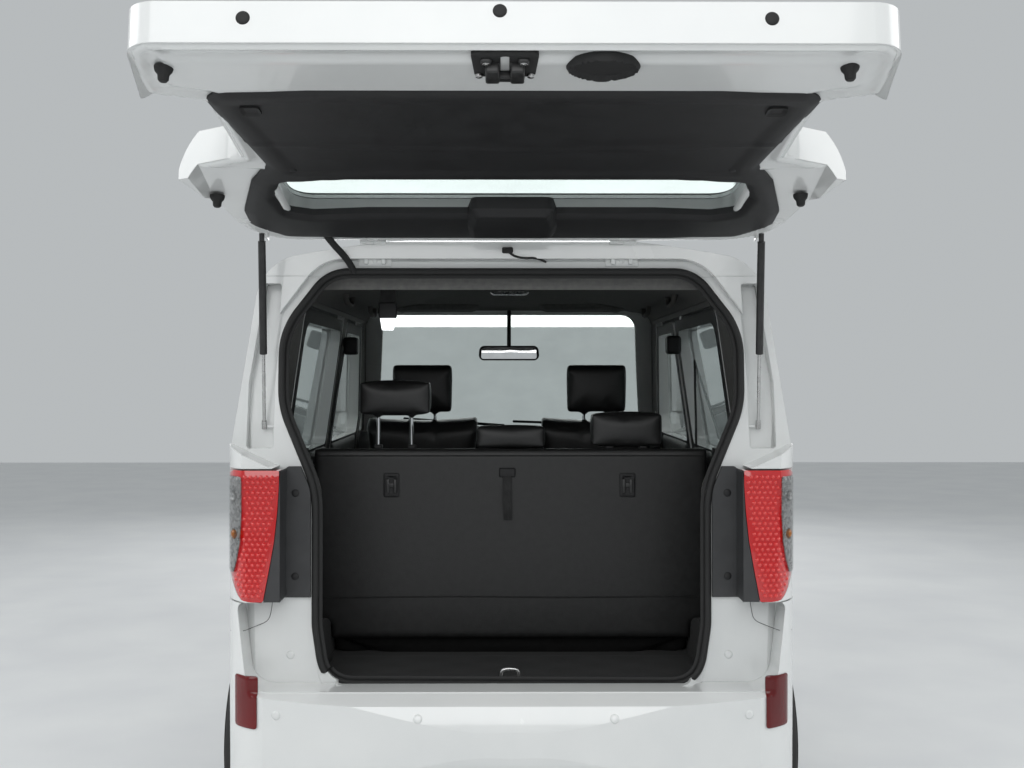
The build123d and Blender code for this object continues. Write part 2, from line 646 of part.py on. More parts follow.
# Cowl below the windscreen, with the two wiper arms
with BuildPart() as cowl:
    add(SKIN)
    box((-690 + SEAM, 690 - SEAM), (BONNET_END, SCREEN_FOOT - SEAM), (900, HEIGHT), mode=Mode.INTERSECT)
WIPERS = (
    ((-560, 1066), (-20, 1086), (-20, 1098), (-560, 1080)),
    ((20, 1064), (520, 1100), (518, 1113), (20, 1078)),
)
with BuildPart() as wipers:
    for blade in WIPERS:
        with BuildPart(mode=Mode.PRIVATE) as arm:
            add(moved_forward(OPEN_OUTER, 6))
            add(moved_forward(GLASS_OUTSIDE, 1), mode=Mode.SUBTRACT)
            rear_prism(blade, 5, (560, 900), mode=Mode.INTERSECT)
        add(arm.part)
with BuildPart() as cowl_and_wipers:
    add(cowl.part)
    add(wipers.part)
save(cowl_and_wipers.part, "cowl")

# Windscreen and the two quarter panes
with BuildPart() as screen:
    add(PANE_LAYER)
    rear_prism(both_sides(SCREEN_HALF), both_radii(SCREEN_RADII), (SCREEN_FOOT, 1300), mode=Mode.INTERSECT,
               grow=-SEAM)
with BuildPart() as quarter_glass:
    add(PANE_LAYER)
    side_prism(QUARTER_WINDOW, QUARTER_RADII, across=(SIDE_KEEP_X, WIDTH), grow=-SEAM, mode=Mode.INTERSECT)
    mirror(about=Plane.YZ)
with BuildPart() as fixed_glass:
    add(screen.part)
    add(quarter_glass.part)
save(fixed_glass.part, "windscreen")

# Doors: hinged at their front edges, or sliding at the rear right
MIRROR_SIZE = (140.0, 90.0, 165.0)
MIRROR_STATION = FRONT_DOOR_START + 42.0
MIRROR_Z = WINDOW_FOOT_Z + 92.0
HANDLE_LENGTH = 165.0
HANDLE_HEIGHT = 26.0
HANDLE_REACH = 34.0
HANDLE_Z = 925.0


def door(sign, corners, radii, arch, steps, window, window_radii, has_mirror, handle_station):
    """Make one door with its stepped edge and its window cut."""
    across = (SIDE_KEEP_X, WIDTH) if sign > 0 else (-WIDTH, -SIDE_KEEP_X)
    with BuildPart() as panel:
        add(SKIN)
        side_prism(corners, radii, across=across, grow=-PANEL_GAP, arch=arch, mode=Mode.INTERSECT)
        add(steps, mode=Mode.SUBTRACT)
        side_prism(window, window_radii, across=across, mode=Mode.SUBTRACT)
        if has_mirror:
            wide, deep, high = MIRROR_SIZE
            foot_x = BELT_HALF_WIDTH - 22
            with BuildSketch(Plane.XY.offset(WINDOW_FOOT_Z - 40)) as stalk:
                with Locations((sign * (foot_x + 30), station(MIRROR_STATION))):
                    RectangleRounded(84, 46, 18)
            extrude(stalk.sketch, amount=78)
            with BuildSketch(Plane.XZ.offset(-station(MIRROR_STATION + deep / 2))) as housing:
                with Locations((sign * (foot_x + 30 + wide / 2), MIRROR_Z)):
                    RectangleRounded(wide, high, 40)
            extrude(housing.sketch, amount=deep, taper=12)
            add(CABIN, mode=Mode.SUBTRACT)
        with BuildSketch(Plane.YZ.offset(sign * (HALF_WIDTH - 26))) as handle:
            with Locations((station(handle_station), HANDLE_Z)):
                RectangleRounded(HANDLE_LENGTH, HANDLE_HEIGHT, HANDLE_HEIGHT / 2 - 1)
        extrude(handle.sketch, amount=sign * HANDLE_REACH)
    return panel.part


def pane(sign, window, window_radii):
    """Make the glass of one side window."""
    across = (SIDE_KEEP_X, WIDTH) if sign > 0 else (-WIDTH, -SIDE_KEEP_X)
    with BuildPart() as glass:
        add(PANE_LAYER)
        side_prism(window, window_radii, across=across, grow=-SEAM, mode=Mode.INTERSECT)
    return glass.part


# Each row: name, side, outline, radii, arch, steps, window, its radii, mirror, handle's station
DOOR_SETS = (
    ("door_front_left", 1, FRONT_DOOR, FRONT_DOOR_RADII, 0.0, STEPS_LEFT, FRONT_WINDOW, FRONT_WINDOW_RADII,
     True, B_PILLAR - 125),
    ("door_rear_left", 1, REAR_DOOR, REAR_DOOR_RADII, DOOR_ARCH_RADIUS, STEPS_LEFT,
     REAR_WINDOW, REAR_WINDOW_RADII, False, REAR_DOOR_END - 130),
    ("door_front_right", -1, FRONT_DOOR, FRONT_DOOR_RADII, 0.0, STEPS_RIGHT, FRONT_WINDOW, FRONT_WINDOW_RADII,
     True, B_PILLAR - 125),
    ("door_sliding_right", -1, REAR_DOOR, REAR_DOOR_RADII, DOOR_ARCH_RADIUS, STEPS_RIGHT,
     REAR_WINDOW, REAR_WINDOW_RADII, False, B_PILLAR + 130),
)
for name, sign, corners, radii, arch, steps, window, window_radii, has_mirror, handle_station in DOOR_SETS:
    save(door(sign, corners, radii, arch, steps, window, window_radii, has_mirror, handle_station), name)
    save(pane(sign, window, window_radii), name.replace("door", "glass"))

# Fuel flap in the left rear quarter, with its hinge arm
FLAP_ARM_X = 780.0
with BuildPart() as fuel_flap:
    add(SKIN)
    box((SIDE_KEEP_X, WIDTH), (FLAP_STATION - FLAP_SIZE / 2, FLAP_STATION + FLAP_SIZE / 2),
        (FLAP_Z - FLAP_SIZE / 2, FLAP_Z + FLAP_SIZE / 2), mode=Mode.INTERSECT)
    add(car_form(5, 5, FLOOR_Z - BEYOND), mode=Mode.SUBTRACT)
    box((HALF_WIDTH - 20 - FLAP_DEPTH + SEAM, FLAP_ARM_X), (FLAP_STATION - FLAP_SIZE / 2 + 4, FLAP_STATION - FLAP_SIZE / 2 + 24),
        (FLAP_Z - 20, FLAP_Z + 20))
save(fuel_flap.part, "fuel_flap")

# Tail: rear bumper, lamps and the dark panels beside them
with BuildPart() as tail_block:
    add(OUTER)
    add(moved_forward(OPEN_OUTER, TAIL_RECESS - SEAM), mode=Mode.SUBTRACT)
    box((-WIDTH, WIDTH), (HINGE_STATION + 3, LENGTH + BEYOND), (0, HEIGHT), mode=Mode.INTERSECT)
TAIL_BLOCK = tail_block.part
TAILGATE_GAP = 5.5
SEAL_WIDTH = 15.0
SEAL_HEIGHT = 14.0
with BuildPart() as seal_space:
    add(moved_forward(OPEN_OUTER, TAIL_RECESS - SEAL_HEIGHT - 4))
    rear_prism(both_sides(APERTURE_HALF), both_radii(APERTURE_RADII), (3200, LENGTH), grow=SEAL_WIDTH + 2,
               mode=Mode.INTERSECT)
SEAL_SPACE = seal_space.part

with BuildPart() as rear_bumper:
    add(OUTER)
    add(moved_forward(OPEN_OUTER, TAIL_RECESS - SEAM), mode=Mode.SUBTRACT)
    box((-WIDTH, WIDTH), (HINGE_STATION + 3 - BEYOND, LENGTH + BEYOND), (0, LAMP_FOOT_Z - SEAM),
        mode=Mode.INTERSECT)
    box((-WIDTH, WIDTH), (HINGE_STATION + 3 - BEYOND, HINGE_STATION - 3 + SEAM), (0, HEIGHT), mode=Mode.SUBTRACT)
    rear_prism(both_sides(TAILGATE_HALF), both_radii(TAILGATE_RADII), (3200, LENGTH + 40),
               grow=TAILGATE_GAP, mode=Mode.SUBTRACT)
    add(SEAL_SPACE, mode=Mode.SUBTRACT)
    for sign in (1, -1):
        with Locations(Location((sign * (REAR_ARCH_INNER_X + WIDTH) / 2, REAR_AXLE_Y, TYRE_RADIUS), (0, 90, 0))):
            Cylinder(REAR_ARCH_RADIUS, WIDTH - REAR_ARCH_INNER_X, mode=Mode.SUBTRACT)
save(rear_bumper.part, "rear_bumper")

REFLECTOR = ((664, 390), (738, 390), (738, 532), (664, 532))
REFLECTOR_RISE = 3.0
with BuildPart() as tail_lamps:
    add(TAIL_BLOCK)
    rear_prism(LAMP_HALF, LAMP_RADII, (3200, LENGTH), mode=Mode.INTERSECT)
    mirror(about=Plane.YZ)
with BuildPart() as reflectors:
    add(OUTER.moved(Location((0, REFLECTOR_RISE, 0))))
    add(OPEN_OUTER.moved(Location((0, SEAM, 0))), mode=Mode.SUBTRACT)
    rear_prism(REFLECTOR, 10, (3400, LENGTH + BEYOND), mode=Mode.INTERSECT)
    mirror(about=Plane.YZ)
with BuildPart() as red_lenses:
    add(tail_lamps.part)
    add(reflectors.part)
save(red_lenses.part, "tail_lamps")

PANEL_THICKNESS = 12.0
LAMP_PANEL = ((536, LAMP_FOOT_Z), (LAMP_INNER_X + 30, LAMP_FOOT_Z), (LAMP_INNER_X - SEAM, LAMP_FOOT_Z + 62),
              (LAMP_INNER_X - SEAM, LAMP_TOP_Z), (560, LAMP_TOP_Z), (536, 1020))
with BuildPart() as lamp_panels:
    add(moved_forward(OPEN_OUTER, TAIL_RECESS - SEAM - PANEL_THICKNESS))
    add(moved_forward(OPEN_OUTER, TAIL_RECESS - SEAM), mode=Mode.SUBTRACT)
    rear_prism(LAMP_PANEL, 8, (3300, LENGTH), mode=Mode.INTERSECT)
    rear_prism(LAMP_HALF, LAMP_RADII, (3200, LENGTH), grow=SEAM, mode=Mode.SUBTRACT)
    add(SEAL_SPACE, mode=Mode.SUBTRACT)
    mirror(about=Plane.YZ)
save(lamp_panels.part, "lamp_panels")

# Rubber seal round the load opening
with BuildPart() as boot_seal:
    add(moved_forward(OPEN_OUTER, TAIL_RECESS - SEAL_HEIGHT))
    add(moved_forward(OPEN_OUTER, TAIL_RECESS - SEAM), mode=Mode.SUBTRACT)
    rear_prism(both_sides(APERTURE_HALF), both_radii(APERTURE_RADII), (3200, LENGTH), grow=SEAL_WIDTH,
               mode=Mode.INTERSECT)
    rear_prism(both_sides(APERTURE_HALF), both_radii(APERTURE_RADII), (3200, LENGTH), grow=-3,
               mode=Mode.SUBTRACT)
save(boot_seal.part, "boot_seal")

# Tailgate, made shut and then swung open about its hinge
with BuildPart() as gate_shut:
    add(TAIL_BLOCK)
    add(moved_forward(OPEN_OUTER, TAILGATE_DEPTH), mode=Mode.SUBTRACT)
    rear_prism(both_sides(TAILGATE_HALF), both_radii(TAILGATE_RADII), (3200, LENGTH + 40), mode=Mode.INTERSECT)
    rear_prism(both_sides(BACKLIGHT_HALF), both_radii(BACKLIGHT_RADII), (3200, LENGTH), mode=Mode.SUBTRACT)
    for sign in (1, -1):
        plate = sign * (STRUT_TOP_X - BALL_RADIUS - 8)
        box((plate - 2, plate + 2), (HINGE_STATION + STRUT_TOP_BEHIND - 10, HINGE_STATION + 40),
            (HINGE_Z - STRUT_TOP_BELOW - 12, HINGE_Z - STRUT_TOP_BELOW + 12))
        with BuildSketch(Plane.YZ.offset(plate)) as stud:
            with Locations((station(HINGE_STATION + STRUT_TOP_BEHIND), HINGE_Z - STRUT_TOP_BELOW)):
                Circle(STUD_RADIUS)
        extrude(stud.sketch, amount=sign * (8 - STUD_GAP))
    hinge_knuckles(KNUCKLE_PLACES, KNUCKLE_CLEAR, Mode.SUBTRACT, -SEAM, KNUCKLE_WIDTH + 2 * SEAM)
    hinge_knuckles(KNUCKLE_PLACES, KNUCKLE_RADIUS, Mode.ADD, KNUCKLE_WIDTH + SEAM)
with BuildPart() as gate_glass_shut:
    add(moved_forward(OPEN_OUTER, GLASS_DEPTH))
    add(moved_forward(OPEN_OUTER, GLASS_DEPTH + GLASS_THICKNESS), mode=Mode.SUBTRACT)
    rear_prism(both_sides(BACKLIGHT_HALF), both_radii(BACKLIGHT_RADII), (3300, LENGTH), grow=-SEAM,
               mode=Mode.INTERSECT)
GATE_TRIM_HALF = ((470, 640), (560, 700), (575, 1030), (640, 1200), (655, 1300), (620, 1470), (470, 1560))
GATE_TRIM_RADII = (60, 60, 60, 60, 60, 60, 50)
TRIM_WINDOW_HALF = ((380, 1150), (550, 1180), (565, 1300), (530, 1460), (380, 1480))
TRIM_WINDOW_RADII = (30, 40, 60, 50, 30)
with BuildPart() as gate_trim_shut:
    add(moved_forward(OPEN_OUTER, TAILGATE_DEPTH + SEAM))
    add(moved_forward(OPEN_OUTER, TAILGATE_DEPTH + SEAM + TRIM_THICKNESS), mode=Mode.SUBTRACT)
    rear_prism(both_sides(GATE_TRIM_HALF), both_radii(GATE_TRIM_RADII), (3300, LENGTH), mode=Mode.INTERSECT)
    rear_prism(both_sides(TRIM_WINDOW_HALF), both_radii(TRIM_WINDOW_RADII), (3300, LENGTH), mode=Mode.SUBTRACT)
for name, shut in (("tailgate", gate_shut), ("tailgate_glass", gate_glass_shut), ("tailgate_trim", gate_trim_shut)):
    save(shut.part.rotate(HINGE_AXIS, TAILGATE_OPEN), name)

# Gas struts from the ring to the tailgate
def swung(behind, above, angle):
    """Turn a point given from the tailgate's hinge; return its y and z."""
    turn = radians(angle)
    return (HINGE_Y + behind * cos(turn) - above * sin(turn), HINGE_Z + behind * sin(turn) + above * cos(turn))


STRUT_TOP_OPEN = Vector(STRUT_TOP_X, *swung(STRUT_TOP_BEHIND, -STRUT_TOP_BELOW, TAILGATE_OPEN))
STRUT_TOP_SHUT = Vector(STRUT_TOP_X, *swung(STRUT_TOP_BEHIND, -STRUT_TOP_BELOW, 0))
STRUT_FOOT = Vector(STRUT_FOOT_X, station(STRUT_FOOT_STATION), STRUT_FOOT_Z)
STRUT_LENGTH = (STRUT_FOOT - STRUT_TOP_OPEN).length
STRUT_SHUT_LENGTH = (STRUT_FOOT - STRUT_TOP_SHUT).length
STRUT_STROKE = STRUT_LENGTH - STRUT_SHUT_LENGTH
STRUT_BODY_LENGTH = STRUT_SHUT_LENGTH - 48.0
print("strut", STRUT_TOP_OPEN, STRUT_TOP_SHUT, STRUT_FOOT, STRUT_LENGTH, STRUT_SHUT_LENGTH)
STRUT_LINE = Plane(STRUT_TOP_OPEN, x_dir=(1, 0, 0), z_dir=STRUT_FOOT - STRUT_TOP_OPEN)

with BuildPart() as strut_body:
    with BuildSketch(STRUT_LINE.offset(14)):
        Circle(STRUT_BODY_RADIUS)
        Circle(STRUT_ROD_RADIUS + SEAM, mode=Mode.SUBTRACT)
    extrude(amount=STRUT_BODY_LENGTH)
    with BuildSketch(STRUT_LINE.offset(-BALL_RADIUS)):
        Circle(BALL_RADIUS)
    extrude(amount=14 + BALL_RADIUS)
with BuildPart() as strut_rod:
    with BuildSketch(STRUT_LINE.offset(14 + STRUT_BODY_LENGTH - 40)):
        Circle(STRUT_ROD_RADIUS)
    extrude(amount=STRUT_LENGTH - 14 - STRUT_BODY_LENGTH + 40)
    with BuildSketch(STRUT_LINE.offset(STRUT_LENGTH - 16)):
        Circle(BALL_RADIUS)
    extrude(amount=16 + BALL_RADIUS)
for sign, side in ((1, "left"), (-1, "right")):
    save(strut_body.part if sign > 0 else mirrored(strut_body.part), "strut_cylinder_" + side)
    save(strut_rod.part if sign > 0 else mirrored(strut_rod.part), "strut_rod_" + side)

# Wheels: tyres and spoked rims, turned about their axles
HUB_FACE = 38.0
BORE_RADIUS = 28.0
SPOKES = 5
DISC_RADIUS = 118.0
HUB_RADIUS = 66.0
FIT = 0.3


def wheel_plane(sign, axle_y, offset_x):
    """Give a plane across the axle, facing outwards."""
    return Plane((sign * (WHEEL_X + offset_x), axle_y, TYRE_RADIUS), x_dir=(0, 1, 0), z_dir=(sign, 0, 0))


def wheel_section(points, sign, axle_y, radius=0.0):
    """Turn a profile, given as (offset out from the wheel's middle, radius)."""
    with BuildSketch(Plane((sign * WHEEL_X, axle_y, TYRE_RADIUS), x_dir=(sign, 0, 0), z_dir=(0, -sign, 0))) as sketch:
        closed_face(points, radius)
    revolve(sketch.sketch, axis=Axis((0, axle_y, TYRE_RADIUS), (1, 0, 0)))


def tyre(sign, axle_y):
    """Make one tyre."""
    half = TYRE_WIDTH / 2
    bead = RIM_RADIUS + FIT
    with BuildPart() as rubber:
        wheel_section(
            ((-RIM_WIDTH / 2 + 15, bead), (RIM_WIDTH / 2 - 15, bead), (half, bead + 34), (half - 6, TYRE_RADIUS - 14),
             (half - 26, TYRE_RADIUS), (26 - half, TYRE_RADIUS), (6 - half, TYRE_RADIUS - 14), (-half, bead + 34)),
            sign, axle_y, (4, 4, 26, 14, 20, 20, 14, 26),
        )
    return rubber.part


def rim(sign, axle_y):
    """Make one rim with its spokes and hub disc."""
    half = RIM_WIDTH / 2
    with BuildPart() as metal:
        wheel_section(
            ((-half, RIM_RADIUS - 14), (half, RIM_RADIUS - 14), (half, RIM_RADIUS + 6), (half - 8, RIM_RADIUS + 6),
             (half - 11.5, RIM_RADIUS), (11.5 - half, RIM_RADIUS), (8 - half, RIM_RADIUS + 6), (-half, RIM_RADIUS + 6)),
            sign, axle_y,
        )
        wheel_section(((HUB_FACE, BORE_RADIUS), (HUB_FACE + 22, BORE_RADIUS), (HUB_FACE + 18, HUB_RADIUS),
                       (HUB_FACE, HUB_RADIUS + 4)), sign, axle_y)
        with BuildSketch(wheel_plane(sign, axle_y, HUB_FACE + 2)) as spokes:
            with PolarLocations(0, SPOKES):
                for lean in (-13, 13):
                    with Locations(Location(((HUB_RADIUS + RIM_RADIUS) / 2 - 10, lean * 1.5, 0), (0, 0, lean))):
                        RectangleRounded(RIM_RADIUS - HUB_RADIUS + 10, 20, 6)
        extrude(spokes.sketch, amount=18)
    return metal.part


AXLES = (("front_left", 1, FRONT_AXLE_Y), ("front_right", -1, FRONT_AXLE_Y),
         ("rear_left", 1, REAR_AXLE_Y), ("rear_right", -1, REAR_AXLE_Y))
for place, sign, axle_y in AXLES:
    save(tyre(sign, axle_y), "tyre_" + place)
    save(rim(sign, axle_y), "rim_" + place)

# Knuckles: hub, brake disc, caliper, upright and the damper that turns with them
LEAN = tan(radians(KINGPIN_LEAN))
DAMPER_RADIUS = 22.0
DISC_BACK = 16.0
SPRING_RADIUS = 62.0


def kingpin_x(height):
    """Give the steering axis's distance from the middle at a height."""
    return KINGPIN_FOOT_X - LEAN * height


KINGPIN = Plane((kingpin_x(TYRE_RADIUS), FRONT_AXLE_Y, TYRE_RADIUS), x_dir=(0, 1, 0), z_dir=(-LEAN, 0, 1))
with BuildPart() as knuckle:
    wheel_section(((HUB_FACE - 2 - FIT, 0), (HUB_FACE - FIT, 0), (HUB_FACE - FIT, HUB_RADIUS),
                   (DISC_BACK + 10, HUB_RADIUS), (DISC_BACK + 10, DISC_RADIUS), (DISC_BACK, DISC_RADIUS),
                   (DISC_BACK, 44), (-42, 44), (-42, 0)), 1, FRONT_AXLE_Y)
    wheel_section(((HUB_FACE - 2 - FIT, 0), (HUB_FACE + 24, 0), (HUB_FACE + 24, BORE_RADIUS - FIT),
                   (HUB_FACE - 2 - FIT, BORE_RADIUS - FIT)), 1, FRONT_AXLE_Y)
    with BuildSketch(wheel_plane(1, FRONT_AXLE_Y, DISC_BACK - 22)) as caliper:
        with Locations(Location((80, 0, 0))):
            RectangleRounded(88, 120, 14)
    extrude(caliper.sketch, amount=18)
    with BuildSketch(KINGPIN.offset(-112)) as ball_joint:
        Circle(19)
    extrude(ball_joint.sketch, amount=60)
    with BuildSketch(KINGPIN.offset(-60)) as upright:
        with Locations((0, 12)):
            RectangleRounded(58, 44, 10)
    extrude(upright.sketch, amount=40)
    box((kingpin_x(TYRE_RADIUS) - 34, WHEEL_X - 40), (FRONT_AXLE - 40, FRONT_AXLE + 40),
        (TYRE_RADIUS - 62, TYRE_RADIUS + 46))
    with BuildSketch(KINGPIN.offset(30)) as bracket:
        with Locations((0, 0)):
            RectangleRounded(60, 64, 10)
    extrude(bracket.sketch, amount=110)
    with BuildSketch(KINGPIN.offset(120)) as damper:
        Circle(DAMPER_RADIUS)
    extrude(damper.sketch, amount=230)
save(knuckle.part, "knuckle_left")
save(mirrored(knuckle.part), "knuckle_right")

# Front suspension: subframe, arms and coil springs round the dampers
SPRING_FOOT = 302.0
TOWER_RADIUS = 82.0
SUBFRAME_FOOT_Z = 182.0
SUBFRAME_TOP_Z = 226.0
PAN_FOOT_Z = 205.0
with BuildPart() as front_suspension:
    box((-330, 330), (FRONT_AXLE - 30, FRONT_AXLE + 130), (SUBFRAME_FOOT_Z, SUBFRAME_TOP_Z))
    for sign in (1, -1):
        box((sign * 280 - 30, sign * 280 + 30), (FRONT_AXLE + 120, FRONT_AXLE + 280),
            (SUBFRAME_FOOT_Z, PAN_FOOT_Z - SEAM))
    for sign in (1, -1):
        with BuildSketch(Plane.XY.offset(140)) as arm:
            closed_face([(sign * x, station(distance)) for x, distance in
                         ((280, FRONT_AXLE - 26), (620, FRONT_AXLE - 30), (668, FRONT_AXLE),
                          (620, FRONT_AXLE + 26), (300, FRONT_AXLE + 210), (250, FRONT_AXLE + 200))], 12)
        extrude(arm.sketch, amount=18)
        with BuildSketch(KINGPIN.offset(-132)) as joint_seat:
            Circle(16)
        extrude(joint_seat.sketch if sign > 0 else joint_seat.sketch.mirror(Plane.YZ), amount=20 - SEAM,
                dir=(-LEAN * sign / hypot(LEAN, 1), 0, 1 / hypot(LEAN, 1)))
        box((min(sign * 262, sign * 330), max(sign * 262, sign * 330)), (FRONT_AXLE - 30, FRONT_AXLE + 40), (150, 200))

with BuildPart() as springs:
    with BuildSketch(KINGPIN.offset(SPRING_FOOT)) as coil:
        Circle(SPRING_RADIUS)
        Circle(DAMPER_RADIUS + 8, mode=Mode.SUBTRACT)
    extrude(coil.sketch, amount=200)
    with BuildSketch(KINGPIN.offset(SPRING_FOOT + 200)) as tower:
        Circle(TOWER_RADIUS - SEAM)
    extrude(tower.sketch, amount=22)
    mirror(about=Plane.YZ)
with BuildPart() as front_running_gear:
    add(front_suspension.part)
    add(springs.part)
save(front_running_gear.part, "front_suspension")

# Rear axle: a twist beam between trailing arms, with brake drums
BEAM_STATION = REAR_AXLE - 190.0
ARM_X = 516.0
ARM_BUSH_STATION = REAR_AXLE - 425
with BuildPart() as rear_axle:
    with BuildSketch(Plane.YZ.offset(-ARM_X)) as beam:
        with Locations((station(BEAM_STATION), TYRE_RADIUS - 8)):
            RectangleRounded(92, 84, 24)
            RectangleRounded(60, 52, 14, mode=Mode.SUBTRACT)
    extrude(beam.sketch, amount=2 * ARM_X)
    for sign in (1, -1):
        low, high = sorted((sign * (ARM_X - 30), sign * (ARM_X + 22)))
        box((low, high), (ARM_BUSH_STATION, REAR_AXLE + 46), (TYRE_RADIUS - 44, TYRE_RADIUS + 26))
        with BuildSketch(Plane.YZ.offset(low)) as bush:
            with Locations((station(ARM_BUSH_STATION), TYRE_RADIUS - 8)):
                Circle(44)
        extrude(bush.sketch, amount=high - low)
        wheel_section(((ARM_X - WHEEL_X, 0), (HUB_FACE - FIT, 0), (HUB_FACE - FIT, HUB_RADIUS),
                       (DISC_BACK, HUB_RADIUS), (DISC_BACK, 104), (-40, 104), (-40, 52), (ARM_X - WHEEL_X, 52)),
                      sign, REAR_AXLE_Y)
        wheel_section(((HUB_FACE - 2 - FIT, 0), (HUB_FACE + 24, 0), (HUB_FACE + 24, BORE_RADIUS - FIT),
                       (HUB_FACE - 2 - FIT, BORE_RADIUS - FIT)), sign, REAR_AXLE_Y)
save(rear_axle.part, "rear_axle")

# Floor: pan, wheelhouses, firewall and the raised load floor
PAN_THICKNESS = 34.0
LOAD_FLOOR_Z = 455.0
LOAD_FLOOR_STATION = 2590.0
LINER = 5.0
with BuildPart() as floor_pan:
    add(CABIN_FIT)
    box((-WIDTH, WIDTH), (FRONT_AXLE + 160, LENGTH), (PAN_FOOT_Z, BELT_Z - 30), mode=Mode.INTERSECT)
    box((-WIDTH, WIDTH), (FRONT_AXLE + 190, LOAD_FLOOR_STATION), (PAN_FOOT_Z + PAN_THICKNESS, HEIGHT),
        mode=Mode.SUBTRACT)
    box((-WIDTH, WIDTH), (LOAD_FLOOR_STATION - 5, LENGTH), (LOAD_FLOOR_Z, HEIGHT), mode=Mode.SUBTRACT)
    box((-WIDTH, WIDTH), (LOAD_FLOOR_STATION + 25, LENGTH), (0, LOAD_FLOOR_Z - 25), mode=Mode.SUBTRACT)
    for inner_x, axle_y, arch in ((REAR_ARCH_INNER_X, REAR_AXLE_Y, REAR_ARCH_RADIUS),
                                  (ARCH_INNER_X, FRONT_AXLE_Y, FRONT_ARCH_RADIUS)):
        for sign in (1, -1):
            with Locations(Location((sign * (inner_x - LINER + WIDTH) / 2, axle_y, TYRE_RADIUS), (0, 90, 0))):
                Cylinder(arch + LINER, WIDTH - inner_x + LINER)
            with Locations(Location((sign * (inner_x + WIDTH) / 2, axle_y, TYRE_RADIUS), (0, 90, 0))):
                Cylinder(arch, WIDTH - inner_x, mode=Mode.SUBTRACT)
    box((-WIDTH, WIDTH), (-BEYOND, LENGTH), (PAN_FOOT_Z, BELT_Z - 30), mode=Mode.INTERSECT)
    add(CABIN_FIT, mode=Mode.INTERSECT)
    for sign in (1, -1):
        upwards = (-LEAN * sign / hypot(LEAN, 1), 0, 1 / hypot(LEAN, 1))
        with BuildSketch(KINGPIN.offset(SPRING_FOOT + 24)) as tower_wall:
            Circle(TOWER_RADIUS + LINER)
        extrude(tower_wall.sketch if sign > 0 else tower_wall.sketch.mirror(Plane.YZ), amount=198, dir=upwards)
        with BuildSketch(KINGPIN.offset(110)) as tower_hole:
            Circle(TOWER_RADIUS)
        extrude(tower_hole.sketch if sign > 0 else tower_hole.sketch.mirror(Plane.YZ), amount=500, dir=upwards,
                mode=Mode.SUBTRACT)
        low, high = sorted((sign * (ARM_X - 26), sign * (ARM_X + 18)))
        box((low, high), (ARM_BUSH_STATION - 20, ARM_BUSH_STATION + 20),
            (TYRE_RADIUS - 8 + 44 + SEAM, LOAD_FLOOR_Z - 20))
        low, high = sorted((sign * (REAR_ARCH_INNER_X - 2 * LINER), sign * (REAR_ARCH_INNER_X + LINER)))
        box((low, high), (REAR_AXLE - REAR_ARCH_RADIUS, REAR_AXLE + REAR_ARCH_RADIUS), (0, LOAD_FLOOR_Z - 100),
            mode=Mode.SUBTRACT)
save(floor_pan.part, "floor_pan")

# Inside linings
with BuildPart() as headliner:
    add(CABIN_FIT)
    add(CABIN_FIT.moved(Location((0, 0, -12))), mode=Mode.SUBTRACT)
    box((-WIDTH, WIDTH), (1330, 3290), (1560, HEIGHT), mode=Mode.INTERSECT)
save(headliner.part, "headliner")
COLUMN = Plane((STEERING_WHEEL_X, station(STEERING_WHEEL_STATION), STEERING_WHEEL_Z), x_dir=(1, 0, 0),
               z_dir=(0, cos(radians(COLUMN_SLOPE)), sin(radians(COLUMN_SLOPE))))
DASH_VIEW = ((700, 760), (1010, 760), (1100, 860), (1090, 1000), (960, 1058), (760, 1020), (700, 960))
with BuildPart() as dashboard:
    add(CABIN_FIT)
    side_prism(DASH_VIEW, (20, 30, 40, 60, 60, 20, 10), across=(-700, 700), mode=Mode.INTERSECT)
    box((-WIDTH, WIDTH), (0, FRONT_AXLE + 190 + SEAM), (0, HEIGHT), mode=Mode.SUBTRACT)
    with BuildSketch(COLUMN.offset(-210)) as shroud:
        Circle(30)
    extrude(shroud.sketch, amount=150 - SEAM)
    box((-120, 120), (1040, 1235), (PAN_FOOT_Z + PAN_THICKNESS + SEAM, 800))
save(dashboard.part, "dashboard")
with BuildPart() as side_trims:
    add(CABIN_FIT)
    box((-WIDTH, WIDTH), (REAR_DOOR_END + 10, 3330), (LOAD_FLOOR_Z + SEAM, LAMP_TOP_Z + 20), mode=Mode.INTERSECT)
    box((-632, 632), (0, LENGTH), (0, HEIGHT), mode=Mode.SUBTRACT)
    for sign in (1, -1):
        with Locations(Location((sign * (REAR_ARCH_INNER_X - LINER + WIDTH) / 2, REAR_AXLE_Y, TYRE_RADIUS), (0, 90, 0))):
            Cylinder(REAR_ARCH_RADIUS + LINER + SEAM, WIDTH - REAR_ARCH_INNER_X + LINER + 2 * SEAM, mode=Mode.SUBTRACT)
with BuildPart() as load_trims:
    add(side_trims.part)
    box((-470, 470), (3300, 3378), (LOAD_FLOOR_Z + SEAM, 468))
save(load_trims.part, "load_trims")

# Mirror hung from the windscreen's header
MIRROR_GLASS = ((-138, 1386), (138, 1386), (132, 1452), (-132, 1452))
with BuildPart() as inner_mirror:
    rear_prism(MIRROR_GLASS, 24, (1212, 1234))
    with BuildLine() as stalk:
        Polyline((0, station(1223), 1430), (0, station(1240), 1500), (0, station(1352), 1640))
    with BuildSketch(Plane(stalk.line @ 0, z_dir=stalk.line % 0)):
        Circle(9)
    sweep(path=stalk.line, transition=Transition.ROUND)
    add(CABIN_FIT.moved(Location((0, 0, -12))), mode=Mode.INTERSECT)
save(inner_mirror.part, "inner_mirror")

